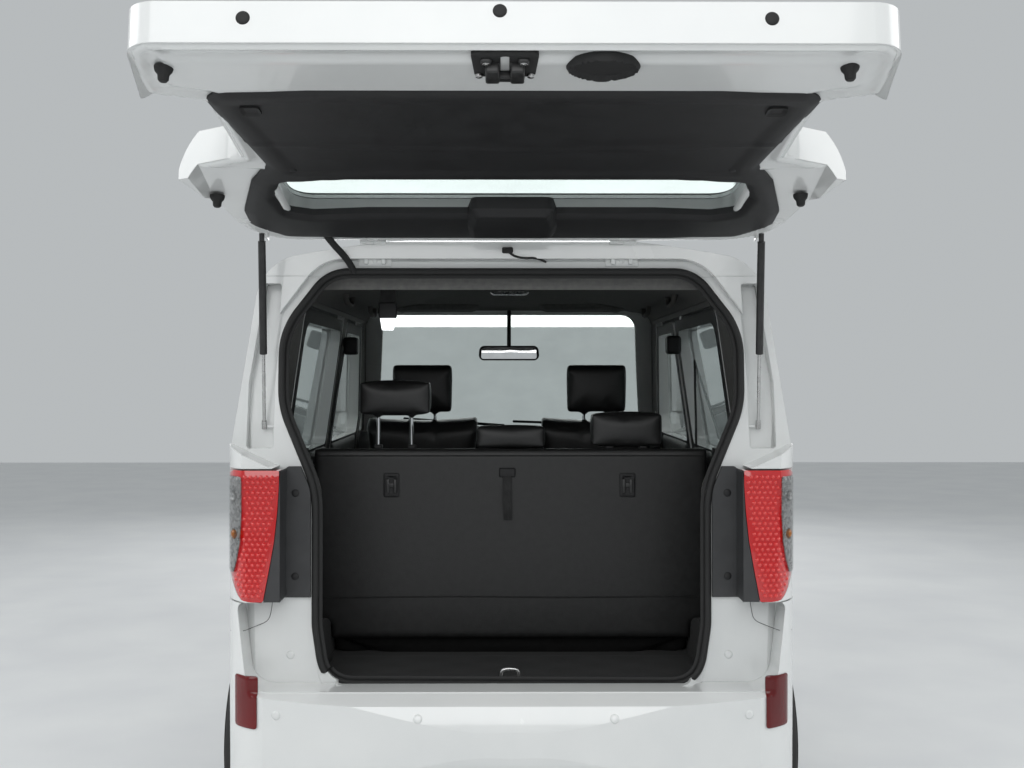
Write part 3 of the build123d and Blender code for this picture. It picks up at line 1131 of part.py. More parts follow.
# Rear bench and front chairs
BACK_STATION = 2975.0
BACK_TOP_Z = 1095.0
with BuildPart() as rear_bench:
    side_prism(((BACK_STATION - 105, 560), (BACK_STATION, 500), (BACK_STATION, BACK_TOP_Z), (BACK_STATION - 60, BACK_TOP_Z),
                (BACK_STATION - 105, 1040)), (10, 10, 18, 18, 20), across=(-604, 604))
    side_prism(((2480, 470), (2930, LOAD_FLOOR_Z + SEAM), (2930, 590), (2520, 640), (2450, 600)), (20, 10, 20, 50, 40),
               across=(-604, 604))
    for sign in (1, -1):
        with Locations(Location((sign * (REAR_ARCH_INNER_X - LINER - 1 + WIDTH) / 2, REAR_AXLE_Y, TYRE_RADIUS), (0, 90, 0))):
            Cylinder(REAR_ARCH_RADIUS + LINER + 1, WIDTH - REAR_ARCH_INNER_X + LINER + 1, mode=Mode.SUBTRACT)
save(rear_bench.part, "rear_bench")
HEADREST_X = 360.0
with BuildPart() as rear_headrests:
    for x, low in ((HEADREST_X, BACK_TOP_Z + 105), (-HEADREST_X, BACK_TOP_Z + 8)):
        box((x - 108, x + 108), (BACK_STATION - 88, BACK_STATION - 12), (low, low + 96))
        for side in (-52, 52):
            with Locations(Location((x + side, station(BACK_STATION - 45), (BACK_TOP_Z + SEAM + low) / 2))):
                Cylinder(5.5, low - BACK_TOP_Z - SEAM)
    box((-105, 105), (BACK_STATION - 80, BACK_STATION - 20), (BACK_TOP_Z + SEAM, BACK_TOP_Z + 66))
save(rear_headrests.part, "rear_headrests")
CHAIR_STATION = 1490.0
with BuildPart() as front_chairs:
    for x in (STEERING_WHEEL_X, -STEERING_WHEEL_X):
        side_prism(((1250, 520), (1260, 620), (1660, 590), (1700, 500)), (25, 40, 30, 25), across=(x - 235, x + 235))
        side_prism(((1640, 560), (1760, 520), (1840, 1150), (1730, 1170)), (30, 40, 50, 40), across=(x - 228, x + 228))
        side_prism(((1770, 1196), (1836, 1196), (1846, 1386), (1790, 1386)), 25, across=(x - 118, x + 118))
        for side in (-50, 50):
            with Locations(Location((x + side, station(1808), 1160))):
                Cylinder(6, 110)
        for side in (-150, 150):
            box((x + side - 20, x + side + 20), (1290, 1690), (PAN_FOOT_Z + PAN_THICKNESS + SEAM, 530))
save(front_chairs.part, "front_chairs")

# Steering wheel on its column
with BuildPart() as steering_wheel:
    with BuildSketch(Plane(COLUMN.origin, x_dir=(1, 0, 0), z_dir=COLUMN.y_dir)) as grip:
        with Locations((STEERING_WHEEL_RADIUS - 14, 0)):
            Circle(14)
    revolve(grip.sketch, axis=Axis(COLUMN.origin, COLUMN.z_dir))
    with BuildSketch(COLUMN.offset(-22)) as boss:
        Circle(62)
    extrude(boss.sketch, amount=26)
    with BuildSketch(COLUMN.offset(-12)) as spokes:
        for turn in (0, 180, 270):
            with Locations(Location((0, 0, 0), (0, 0, turn))):
                with Locations((110, 0)):
                    RectangleRounded(120, 34, 8)
    extrude(spokes.sketch, amount=12)
    with BuildSketch(COLUMN.offset(-60)) as shaft:
        Circle(17)
    extrude(shaft.sketch, amount=40)
save(steering_wheel.part, "steering_wheel")

# Heavy and hanging parts below
with BuildPart() as engine_block:
    box((-300, 250), (290, 650), (SUBFRAME_TOP_Z + SEAM, 770))
save(engine_block.part, "engine_block")
PIPE_RADIUS = 24.0
PIPE_Z = PAN_FOOT_Z - SEAM - PIPE_RADIUS
MUFFLER_Z = 285.0
MUFFLER_STATION = 3300.0
with BuildPart() as exhaust:
    with BuildLine() as pipe:
        FilletPolyline(
            (-120, station(FRONT_AXLE + 131), PIPE_Z), (-120, station(1500), PIPE_Z), (-60, station(1900), PIPE_Z),
            (-60, station(3060), PIPE_Z), (-60, station(3240), MUFFLER_Z), (-60, station(MUFFLER_STATION), MUFFLER_Z),
            radius=(300, 300, 80, 80),
        )
    with BuildSketch(Plane(pipe.line @ 0, z_dir=pipe.line % 0)):
        Circle(PIPE_RADIUS)
    sweep(path=pipe.line)
    with BuildSketch(Plane.YZ.offset(-330)):
        with Locations((station(MUFFLER_STATION), MUFFLER_Z)):
            RectangleRounded(118, 150, 50)
    extrude(amount=560)
    with BuildSketch(Plane.XY.offset(MUFFLER_Z + 50)):
        with Locations((-250, station(MUFFLER_STATION)), (150, station(MUFFLER_STATION))):
            Rectangle(24, 30)
    extrude(amount=LOAD_FLOOR_Z - 25 - SEAM - MUFFLER_Z - 50)
save(exhaust.part, "exhaust")
with BuildPart() as fuel_tank:
    box((-20, 480), (2060, 2560), (PAN_FOOT_Z - 35, PAN_FOOT_Z - SEAM))
save(fuel_tank.part, "fuel_tank")
print("all done")
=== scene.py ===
# %% [markdown]
# The city car, dressed for its picture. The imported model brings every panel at
# its real size. This lesson gives each one its finish and adds the small
# things that a camera behind the raised tailgate sees: the pressed inner panel
# and its trim, seals, screws, the lamps' insides, padded chairs and tread.

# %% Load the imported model
import json
import math
import random

import bmesh
import bpy
import numpy as np
from mathutils import Matrix, Vector
from mathutils.bvhtree import BVHTree


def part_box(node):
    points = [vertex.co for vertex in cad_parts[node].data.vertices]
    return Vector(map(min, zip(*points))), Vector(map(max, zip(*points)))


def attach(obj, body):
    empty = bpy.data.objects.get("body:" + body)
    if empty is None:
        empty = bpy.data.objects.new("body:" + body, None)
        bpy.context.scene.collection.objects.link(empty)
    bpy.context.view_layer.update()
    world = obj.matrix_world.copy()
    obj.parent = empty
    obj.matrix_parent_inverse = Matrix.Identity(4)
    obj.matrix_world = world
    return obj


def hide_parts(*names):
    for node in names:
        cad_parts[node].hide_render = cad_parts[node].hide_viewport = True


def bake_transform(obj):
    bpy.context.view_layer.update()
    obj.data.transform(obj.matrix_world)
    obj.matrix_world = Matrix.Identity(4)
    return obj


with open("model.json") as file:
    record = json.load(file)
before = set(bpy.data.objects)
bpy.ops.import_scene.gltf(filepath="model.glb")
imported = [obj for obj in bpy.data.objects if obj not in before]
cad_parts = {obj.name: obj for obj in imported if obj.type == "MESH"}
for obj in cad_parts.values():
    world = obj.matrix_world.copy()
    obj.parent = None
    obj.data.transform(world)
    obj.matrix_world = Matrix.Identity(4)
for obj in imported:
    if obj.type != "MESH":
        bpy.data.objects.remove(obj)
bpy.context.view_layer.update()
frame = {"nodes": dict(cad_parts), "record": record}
random.seed(7)
nodes = frame["nodes"]
joints = {joint["name"]: joint for joint in frame["record"]["behaviour"]["joints"]}

# %% [markdown]
# The camera stands where the photographer stood: behind the car, a little
# above the middle of the load opening. A lens of 43 mm on a 36 mm frame gives
# the photograph's width, and a hair of tilt puts its horizon right.

# %% Camera
CAMERA_PLACE = (0.018, 4.444, 1.32)
LENS = 42.9
SENSOR = 36.0
LOOK_DOWN = math.radians(0.42)
LOOK_ASIDE = math.radians(0.33)
camera_data = bpy.data.cameras.new("camera")
camera_data.lens = LENS
camera_data.sensor_width = SENSOR
camera = bpy.data.objects.new("camera", camera_data)
bpy.context.scene.collection.objects.link(camera)
camera.location = CAMERA_PLACE
camera.rotation_euler = (math.pi / 2 - LOOK_DOWN, 0, math.pi - LOOK_ASIDE)
bpy.context.scene.camera = camera
print("camera at", CAMERA_PLACE)

# %% [markdown]
# A material is a small tree: a base colour broken up by noise, a roughness
# that changes a little, and a fine bump. One helper lays the tree out, so that
# each finish is a line of values. A Bevel node softens the panels' pressed
# edges, as paint and moulding do.


# %% Helper: a finish
def node_of(tree, kind, **values):
    """Add a shader node and set its properties."""
    made = tree.nodes.new(kind)
    for key, value in values.items():
        setattr(made, key, value)
    return made


def noise_of(tree, place, scale, detail):
    """Add a noise texture on object coordinates."""
    noise = node_of(tree, "ShaderNodeTexNoise")
    noise.inputs["Scale"].default_value = scale
    noise.inputs["Detail"].default_value = detail
    tree.links.new(place.outputs["Object"], noise.inputs["Vector"])
    return noise


def math_of(tree, operation, *values):
    """Add a node that reckons with its values, each a socket or a number."""
    made = node_of(tree, "ShaderNodeMath", operation=operation)
    for slot, value in zip(made.inputs, values):
        if isinstance(value, float):
            slot.default_value = value
        else:
            tree.links.new(value, slot)
    return made.outputs[0]


def mix_of(tree, kind, factor, first, second):
    """Mix two colours or two values; the second is a socket or a number."""
    made = node_of(tree, "ShaderNodeMix", data_type=kind)
    tree.links.new(factor, made.inputs["Factor"])
    tree.links.new(first, made.inputs["A"])
    if isinstance(second, float):
        made.inputs["B"].default_value = second
    else:
        tree.links.new(second, made.inputs["B"])
    return made.outputs["Result"]


def ramp_of(tree, factor, dark, light, low=0.3, high=0.7):
    """Add a colour ramp between two colours."""
    ramp = node_of(tree, "ShaderNodeValToRGB")
    ramp.color_ramp.elements[0].position = low
    ramp.color_ramp.elements[1].position = high
    ramp.color_ramp.elements[0].color = (*dark, 1)
    ramp.color_ramp.elements[1].color = (*light, 1)
    tree.links.new(factor, ramp.inputs["Fac"])
    return ramp


def finish(name, dark, light, rough, scale=40.0, bump=0.1, grain=300.0, edge=0.0, **sockets):
    """Make a material with broken colour, uneven gloss and a fine surface."""
    material = bpy.data.materials.new(name)
    material.use_nodes = True
    tree = material.node_tree
    shader = tree.nodes["Principled BSDF"]
    place = node_of(tree, "ShaderNodeTexCoord")
    clouds = noise_of(tree, place, scale, 6.0)
    ramp = ramp_of(tree, clouds.outputs["Fac"], dark, light)
    tree.links.new(ramp.outputs["Color"], shader.inputs["Base Color"])
    spread = node_of(tree, "ShaderNodeMapRange")
    spread.inputs["To Min"].default_value = rough[0]
    spread.inputs["To Max"].default_value = rough[1]
    tree.links.new(clouds.outputs["Fac"], spread.inputs["Value"])
    tree.links.new(spread.outputs["Result"], shader.inputs["Roughness"])
    fine = noise_of(tree, place, grain, 3.0)
    relief = node_of(tree, "ShaderNodeBump")
    relief.inputs["Strength"].default_value = bump
    relief.inputs["Distance"].default_value = 0.001
    tree.links.new(fine.outputs["Fac"], relief.inputs["Height"])
    if edge:
        soft_edge = node_of(tree, "ShaderNodeBevel", samples=4)
        soft_edge.inputs["Radius"].default_value = edge
        tree.links.new(soft_edge.outputs["Normal"], relief.inputs["Normal"])
    tree.links.new(relief.outputs["Normal"], shader.inputs["Normal"])
    for key, value in sockets.items():
        shader.inputs[key.replace("_", " ")].default_value = value
    return material


# %% [markdown]
# Some pressings are painted on the outside and carry dark trim on the side
# that faces the cabin. Their tree mixes two colours by the way the surface
# faces: towards the car's middle is trim, as far back as the tailgate.

# %% Helper: paint outside, trim inside
OUTER_WALL_Y = 1.06
TRIM_ROUGHNESS = 0.7


def two_faced(name, inside, threshold=0.35, **values):
    """Copy the paint finish with trim colour where the surface faces the cabin."""
    material = finish(name, **values)
    tree = material.node_tree
    shader = tree.nodes["Principled BSDF"]
    paint = shader.inputs["Base Color"].links[0].from_socket
    shine = shader.inputs["Roughness"].links[0].from_socket
    place = next(node for node in tree.nodes if node.type == "TEX_COORD")
    side = node_of(tree, "ShaderNodeSeparateXYZ")
    tree.links.new(place.outputs["Object"], side.inputs["Vector"])
    facing = node_of(tree, "ShaderNodeSeparateXYZ")
    tree.links.new(place.outputs["Normal"], facing.inputs["Vector"])
    inward = math_of(tree, "MULTIPLY", math_of(tree, "SIGN", side.outputs["X"]), facing.outputs["X"])
    is_inside = math_of(tree, "LESS_THAN", inward, -threshold)
    ahead = math_of(tree, "LESS_THAN", side.outputs["Y"], OUTER_WALL_Y)
    in_cabin = math_of(tree, "MULTIPLY", is_inside, ahead)
    grain = ramp_of(tree, noise_of(tree, place, 60.0, 4.0).outputs["Fac"], *inside)
    colour = mix_of(tree, "RGBA", in_cabin, paint, grain.outputs["Color"])
    tree.links.new(colour, shader.inputs["Base Color"])
    tree.links.new(mix_of(tree, "FLOAT", in_cabin, shine, TRIM_ROUGHNESS), shader.inputs["Roughness"])
    coat = math_of(tree, "SUBTRACT", PAINT["Coat_Weight"], is_inside)
    coat.node.use_clamp = True
    tree.links.new(coat, shader.inputs["Coat Weight"])
    return material


# %% [markdown]
# The finishes: white paint, black and grey moulded plastic, rubber, carpet,
# black leather, webbing and the metals. None is one flat colour.

# %% Finishes
PAINT = {
    "dark": (0.70, 0.715, 0.71), "light": (0.77, 0.78, 0.77), "rough": (0.22, 0.3), "scale": 3.0, "bump": 0.015,
    "grain": 900.0, "edge": 0.003, "Coat_Weight": 0.8, "Coat_Roughness": 0.06,
}
BLACK_TRIM = ((0.008, 0.008, 0.009), (0.016, 0.016, 0.017))
GREY_TRIM = ((0.09, 0.087, 0.082), (0.12, 0.116, 0.11))
white_paint = finish("white_paint", **PAINT)
door_paint = two_faced("door_paint", BLACK_TRIM, **PAINT)
frame_paint = two_faced("frame_paint", GREY_TRIM, **PAINT)
black_grain = finish("black_grain", (0.006, 0.006, 0.0065), (0.011, 0.011, 0.012), (0.5, 0.68), scale=14.0,
                     bump=0.5, grain=700.0, edge=0.002)
grey_grain = finish("grey_grain", (0.03, 0.031, 0.033), (0.043, 0.044, 0.046), (0.5, 0.65), scale=20.0, bump=0.4,
                    grain=800.0, edge=0.002)
pillar_grain = finish("pillar_grain", (0.085, 0.082, 0.078), (0.11, 0.107, 0.10), (0.6, 0.75), scale=20.0,
                      bump=0.4, grain=800.0, edge=0.003)
soft_rubber = finish("soft_rubber", (0.008, 0.008, 0.008), (0.015, 0.015, 0.015), (0.55, 0.8), scale=30.0,
                     bump=0.15, grain=500.0)
lining = finish("lining", (0.12, 0.12, 0.117), (0.16, 0.158, 0.15), (0.85, 0.98), scale=60.0, bump=0.6,
                grain=1200.0)
carpet = finish("carpet", (0.0045, 0.0045, 0.0045), (0.012, 0.012, 0.012), (0.9, 1.0), scale=90.0, bump=0.9,
                grain=900.0, Sheen_Weight=0.06)
leather = finish("leather", (0.009, 0.009, 0.009), (0.015, 0.015, 0.015), (0.36, 0.52), scale=60.0, bump=0.35,
                 grain=420.0)
webbing = finish("webbing", (0.012, 0.012, 0.012), (0.03, 0.03, 0.03), (0.7, 0.85), scale=30.0, bump=0.6,
                 grain=1600.0)
cast_metal = finish("cast_metal", (0.16, 0.155, 0.15), (0.26, 0.25, 0.24), (0.55, 0.8), scale=30.0, bump=0.5,
                    grain=200.0, Metallic=0.8)
black_steel = finish("black_steel", (0.012, 0.012, 0.012), (0.03, 0.03, 0.03), (0.3, 0.45), scale=40.0, bump=0.1,
                     grain=400.0, edge=0.002)
bare_steel = finish("bare_steel", (0.45, 0.45, 0.44), (0.6, 0.6, 0.6), (0.2, 0.35), scale=30.0, bump=0.05,
                    grain=600.0, Metallic=1.0)
rim_silver = finish("rim_silver", (0.5, 0.51, 0.52), (0.6, 0.61, 0.62), (0.25, 0.35), scale=12.0, bump=0.05,
                    grain=900.0, edge=0.003, Metallic=0.9, Coat_Weight=0.5)
tyre_black = finish("tyre_black", (0.012, 0.012, 0.012), (0.03, 0.029, 0.028), (0.7, 0.9), scale=16.0, bump=0.4,
                    grain=400.0)
chrome = finish("chrome", (0.75, 0.76, 0.77), (0.85, 0.86, 0.87), (0.03, 0.08), scale=20.0, bump=0.02,
                grain=300.0, Metallic=1.0)
tray_silver = finish("tray_silver", (0.30, 0.30, 0.30), (0.55, 0.55, 0.55), (0.2, 0.35), scale=90.0, bump=0.1,
                     grain=300.0, Metallic=0.55)
amber = finish("amber", (0.55, 0.16, 0.01), (0.7, 0.24, 0.02), (0.1, 0.2), scale=30.0, bump=0.02, grain=300.0,
               Transmission_Weight=0.6)


# %% [markdown]
# Glass and lenses let light through, with a haze of dust. The red lenses are
# dark enough to be painted on, with a clear coat over them.

# %% Finishes that let light through
def clear_finish(name, colour, rough, **sockets):
    """Make a see-through material with a faint haze of dust."""
    return finish(name, tuple(0.92 * c for c in colour), colour, rough, scale=6.0, bump=0.01, grain=300.0,
                  Transmission_Weight=1.0, **sockets)


pane_glass = clear_finish("pane_glass", (0.80, 0.86, 0.84), (0.0, 0.02), IOR=1.45)
tinted_glass = clear_finish("tinted_glass", (0.42, 0.47, 0.46), (0.0, 0.02), IOR=1.45)
clear_lens = clear_finish("clear_lens", (0.92, 0.93, 0.93), (0.0, 0.03), IOR=1.45)
red_lens = finish("red_lens", (0.50, 0.004, 0.006), (0.56, 0.006, 0.008), (0.05, 0.1), scale=3.0, bump=0.02,
                  grain=200.0, Coat_Weight=1.0, Coat_Roughness=0.03)
dark_red = finish("dark_red", (0.10, 0.002, 0.003), (0.16, 0.004, 0.005), (0.08, 0.15), scale=3.0, bump=0.02)
red_dome = finish("red_dome", (0.62, 0.012, 0.012), (0.72, 0.03, 0.026), (0.04, 0.08), scale=3.0, bump=0.02,
                  grain=200.0, Coat_Weight=1.0, Coat_Roughness=0.02)
print("finishes", len(bpy.data.materials))

# %% [markdown]
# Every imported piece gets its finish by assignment; its mesh is left alone.

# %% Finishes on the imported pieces
FINISHES = {
    "side_frame_left": frame_paint, "side_frame_right": frame_paint,
    "door_front_left": door_paint, "door_rear_left": door_paint, "door_front_right": door_paint,
    "door_sliding_right": door_paint, "floor_pan": carpet, "inner_mirror": black_grain,
    "grille": black_grain, "cowl": black_grain, "dashboard": black_grain, "load_trims": black_grain,
    "tailgate_trim": black_grain, "steering_wheel": leather, "lamp_panels": grey_grain, "boot_seal": soft_rubber,
    "windscreen": pane_glass, "glass_front_left": pane_glass, "glass_front_right": pane_glass,
    "glass_rear_left": tinted_glass, "glass_sliding_right": tinted_glass, "tailgate_glass": tinted_glass,
    "headlamps": clear_lens, "tail_lamps": red_lens, "front_suspension": black_steel, "rear_axle": black_steel,
    "headliner": lining, "rear_bench": carpet, "rear_headrests": leather, "front_chairs": leather,
    "engine_block": cast_metal, "exhaust": bare_steel, "fuel_tank": black_grain,
}
BY_PREFIX = (("tyre_", tyre_black), ("rim_", rim_silver), ("knuckle_", cast_metal),
             ("strut_cylinder_", black_steel), ("strut_rod_", bare_steel))
for name, node in nodes.items():
    material = FINISHES.get(name, white_paint)
    for word, other in BY_PREFIX:
        if name.startswith(word):
            material = other
    if not node.material_slots:
        node.data.materials.append(material)
    for slot in node.material_slots:
        slot.material = material
print("dressed", len(nodes))

# %% [markdown]
# Most pieces share a finish, a body and a kind of stuff, so those three go
# together under one name.

# %% Finish, body and stuff in one
PLASTIC = (black_grain, "body", "black_plastic")
RUBBER = (soft_rubber, "body", "seal_rubber")
PAINTED = (white_paint, "body", "body_paint")
DARK_STEEL = (black_steel, "body", "black_steel")
BARE_STEEL = (bare_steel, "body", "bare_steel")
CHROMED = (chrome, "body", "bare_steel")
WEBBING = (webbing, "body", "cloth_black")
COVERED = (leather, "body", "cloth_black")
REFLECTOR_SILVER = (tray_silver, "body", "lamp_clear")
RED_GLASS = (red_dome, "body", "lamp_red")
GATE_RUBBER = (soft_rubber, "tailgate", "seal_rubber")
GATE_PAINT = (white_paint, "tailgate", "body_paint")
print("bundles ready")

# %% [markdown]
# Small pieces sit on what carries them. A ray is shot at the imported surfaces
# for every point of a new sheet, so a trim follows the panel's curve exactly.
# The tailgate's pieces are laid out shut, where left and right, up and down
# are plain, and then turned about its hinge like the real one.

# %% Helpers: surfaces to sit on
HINGE = Vector(joints["tailgate"]["pos_m"])
OPEN_ANGLE = math.radians(-joints["tailgate"]["range_deg"][0])
SWING = Matrix.Translation(HINGE) @ Matrix.Rotation(OPEN_ANGLE, 4, "X") @ Matrix.Translation(-HINGE)
BEHIND_LAMPS = 1.6
BEHIND_CAR = 3
SIDES = ((1, "left"), (-1, "right"))
INNER_SIDES = ((1, "in_left", "left"), (-1, "in_right", "right"))
BODIES = frame["record"]["behaviour"]["bodies"]


def body_of(name):
    """Give the body that a panel moves with."""
    return name if name in BODIES else "body"


def surface_of(*names, shut=False):
    """Collect nodes into one tree for ray casting."""
    turn = SWING.inverted() if shut else Matrix.Identity(4)
    corners, faces = [], []
    for name in names:
        mesh = nodes[name].data
        first = len(corners)
        corners += [turn @ corner.co for corner in mesh.vertices]
        faces += [[first + index for index in face.vertices] for face in mesh.polygons]
    return BVHTree.FromPolygons(corners, faces)


def from_behind(surface, x, z, start=BEHIND_LAMPS):
    """Shoot a ray forwards from behind the car; give the point it meets and the direction there."""
    return surface.ray_cast(Vector((x, start, z)), Vector((0, -1, 0)))[:2]


def rounded(corners, radius, steps=6):
    """Round the corners of a closed outline; radius may be one value or a list."""
    radii = radius if isinstance(radius, (list, tuple)) else [radius] * len(corners)
    line = []
    for index, (corner, reach) in enumerate(zip(corners, radii)):
        here = Vector(corner)
        before = Vector(corners[index - 1]) - here
        after = Vector(corners[(index + 1) % len(corners)]) - here
        bend = before.angle(after) / 2
        back = min(reach / max(math.tan(bend), 0.05), 0.48 * before.length, 0.48 * after.length)
        if reach <= 0 or bend > 1.55:
            line.append(tuple(here))
            continue
        start = here + before.normalized() * back
        end = here + after.normalized() * back
        for step in range(steps + 1):
            t = step / steps
            line.append(tuple(start * (1 - t) ** 2 + here * 2 * t * (1 - t) + end * t * t))
    return line


def slab(x0, x1, z0, z1, radius):
    """Give a rectangle with rounded corners."""
    return rounded([(x0, z0), (x1, z0), (x1, z1), (x0, z1)], radius)


def both_halves(half):
    """Mirror a half outline, given from its foot to its top, into a whole one."""
    return list(half) + [(-x, z) for x, z in reversed(half)]


def settle(mesh, name, material, body, slot, shut=False, sharp=35.0):
    """Turn a mesh into a piece of the car; without a body it is left unattached."""
    if shut:
        mesh.transform(SWING)
    mesh.materials.clear()
    mesh.materials.append(material)
    mesh.shade_smooth()
    mesh.set_sharp_from_angle(angle=math.radians(sharp))
    piece = bpy.data.objects.new(name, mesh)
    bpy.context.scene.collection.objects.link(piece)
    if body:
        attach(piece, body)
    return piece


def settle_bm(bm, name, *rest, **options):
    """Turn a bmesh into a riding piece."""
    mesh = bpy.data.meshes.new(name)
    bm.to_mesh(mesh)
    bm.free()
    return settle(mesh, name, *rest, **options)


# %% [markdown]
# A patch is the workhorse: an outline, filled with a fine grid, dropped on a
# surface along one direction. A relief function lifts each point by its place
# and by its distance from the edge, which makes pressed channels, raised
# pads, quilting and ribs out of the same few lines. Its border turns down
# into the panel, so that it looks as thick as the moulding it stands for.


# %% Helper: a patch laid on a surface
VIEWS = {
    "back": (Vector((0, 3, 0)), Vector((1, 0, 0)), Vector((0, 0, 1)), Vector((0, 1, 0))),
    "front": (Vector((0, -3, 0)), Vector((1, 0, 0)), Vector((0, 0, 1)), Vector((0, -1, 0))),
    "top": (Vector((0, 0, 3)), Vector((1, 0, 0)), Vector((0, 1, 0)), Vector((0, 0, 1))),
    "left": (Vector((3, 0, 0)), Vector((0, 1, 0)), Vector((0, 0, 1)), Vector((1, 0, 0))),
    "right": (Vector((-3, 0, 0)), Vector((0, 1, 0)), Vector((0, 0, 1)), Vector((-1, 0, 0))),
}


def seen_from(view, depth=None):
    """Give origin, across, up and away of a view; depth moves the origin plane."""
    origin, across, up, away = VIEWS[view]
    if depth is not None:
        origin = away * (depth * (away.x + away.y + away.z))
    return origin, across, up, away


def edge_distance(points, loops):
    """Measure each 2-D point's distance to the nearest side of the loops."""
    best = np.full(len(points), 1e9)
    for loop in loops:
        ring = np.array(loop)
        for a, b in zip(ring, np.roll(ring, -1, axis=0)):
            side = b - a
            t = np.clip(((points - a) @ side) / max(side @ side, 1e-12), 0, 1)
            best = np.minimum(best, np.linalg.norm(points - a - t[:, None] * side, axis=1))
    return best


def grid_of(loops, pitch):
    """Fill loops with faces and cut them along a square grid."""
    bm = bmesh.new()
    edges = []
    for loop in loops:
        ring = [bm.verts.new((u, v, 0)) for u, v in loop]
        edges += [bm.edges.new((ring[i], ring[(i + 1) % len(ring)])) for i in range(len(ring))]
    bmesh.ops.triangle_fill(bm, use_beauty=True, use_dissolve=True, edges=edges)
    outer = np.array(loops[0])
    for axis in (0, 1):
        low, high = outer[:, axis].min(), outer[:, axis].max()
        normal = (1, 0, 0) if axis == 0 else (0, 1, 0)
        for cut in range(1, int((high - low) / pitch) + 1):
            place = [0, 0, 0]
            place[axis] = low + cut * pitch
            bmesh.ops.bisect_plane(bm, geom=bm.verts[:] + bm.edges[:] + bm.faces[:], dist=1e-6, plane_co=place,
                                   plane_no=normal)
    return bm


def patch(name, outline, surface, view, material, body, slot, holes=(), pitch=0.012, lift=0.002, relief=None,
          skirt=0.004, depth=None, flat=False, shut=False, sharp=35.0, deepest=9.0):
    """Drop a gridded outline on a surface, no deeper than a limit, and lift it by the relief."""
    origin, across, up, away = seen_from(view, depth)
    loops = [outline, *holes]
    bm = grid_of(loops, pitch)
    bm.verts.ensure_lookup_table()
    points = np.array([corner.co[:2] for corner in bm.verts])
    apart = edge_distance(points, loops)
    heights = np.full(len(points), lift)
    if relief:
        heights = heights + relief(points[:, 0], points[:, 1], apart)
    far = np.zeros(len(points))
    if not flat:
        hits = [surface.ray_cast(origin + across * float(u) + up * float(v), -away) for u, v in points]
        met = np.array([hit[0] is not None and hit[3] < deepest for hit in hits])
        reach = np.array([hit[3] if hit[0] is not None else 0.0 for hit in hits])
        near = [int(np.argmin(np.where(met, ((points - point) ** 2).sum(axis=1), 1e9))) for point in points[~met]]
        far = reach.copy()
        far[~met] = reach[near]
    for corner, (u, v), rise, gone in zip(list(bm.verts), points, heights, far):
        corner.co = origin + across * float(u) + up * float(v) - away * float(gone - rise)
    bm.normal_update()
    facing = sum((face.normal * face.calc_area() for face in bm.faces), Vector())
    if facing.dot(away) < 0:
        bmesh.ops.reverse_faces(bm, faces=bm.faces[:])
    if skirt:
        border = [edge for edge in bm.edges if edge.is_boundary]
        turned = bmesh.ops.extrude_edge_only(bm, edges=border)["geom"]
        for item in turned:
            if isinstance(item, bmesh.types.BMVert):
                item.co -= away * skirt
    return settle_bm(bm, name, material, body, slot, shut=shut, sharp=sharp)


# %% [markdown]
# Seals, pipes and wires are one section drawn along a path, and screws, lamp
# domes and tread blocks are one shape at many places. Geometry Nodes does
# both: the section tree sweeps a flattened circle along a curve, the copies
# tree puts a shape on every point and turns it to the point's direction. The
# result is kept as a plain mesh.


# %% Geometry Nodes: a section along a path, and copies on points
def group_of(name, inputs, parts, links):
    """Build a node tree from its inputs, its parts and the links from socket to socket."""
    tree = bpy.data.node_groups.new(name, "GeometryNodeTree")
    for word, kind in inputs:
        tree.interface.new_socket(name=word, in_out="INPUT", socket_type="NodeSocket" + kind)
    tree.interface.new_socket(name="Mesh", in_out="OUTPUT", socket_type="NodeSocketGeometry")
    made = {"entry": tree.nodes.new("NodeGroupInput")}
    for word, kind in (*parts, ("whole", "GeometryNodeRealizeInstances"), ("dress", "GeometryNodeSetMaterial"),
                       ("leave", "NodeGroupOutput")):
        made[word] = tree.nodes.new(kind)
    for start, end in (*links, ("whole.Geometry", "dress.Geometry"), ("entry.Material", "dress.Material"),
                       ("dress.Geometry", "leave.Mesh")):
        (source, give), (target, take) = start.split("."), end.split(".")
        tree.links.new(made[source].outputs[give], made[target].inputs[take])
    return tree, made


def section_tree():
    """Build the tree that sweeps a flattened circle along curves."""
    tree, made = group_of(
        "section_along_path",
        (("Path", "Geometry"), ("Width", "Float"), ("Height", "Float"), ("Sides", "Int"), ("Material", "Material")),
        (("circle", "GeometryNodeCurvePrimitiveCircle"), ("size", "ShaderNodeCombineXYZ"),
         ("flatten", "GeometryNodeTransform"), ("sweep", "GeometryNodeCurveToMesh")),
        (("entry.Sides", "circle.Resolution"), ("entry.Width", "size.X"), ("entry.Height", "size.Y"),
         ("circle.Curve", "flatten.Geometry"), ("size.Vector", "flatten.Scale"), ("entry.Path", "sweep.Curve"),
         ("flatten.Geometry", "sweep.Profile Curve"), ("sweep.Mesh", "whole.Geometry")))
    made["circle"].inputs["Radius"].default_value = 0.5
    made["size"].inputs["Z"].default_value = 1.0
    made["sweep"].inputs["Fill Caps"].default_value = True
    return tree


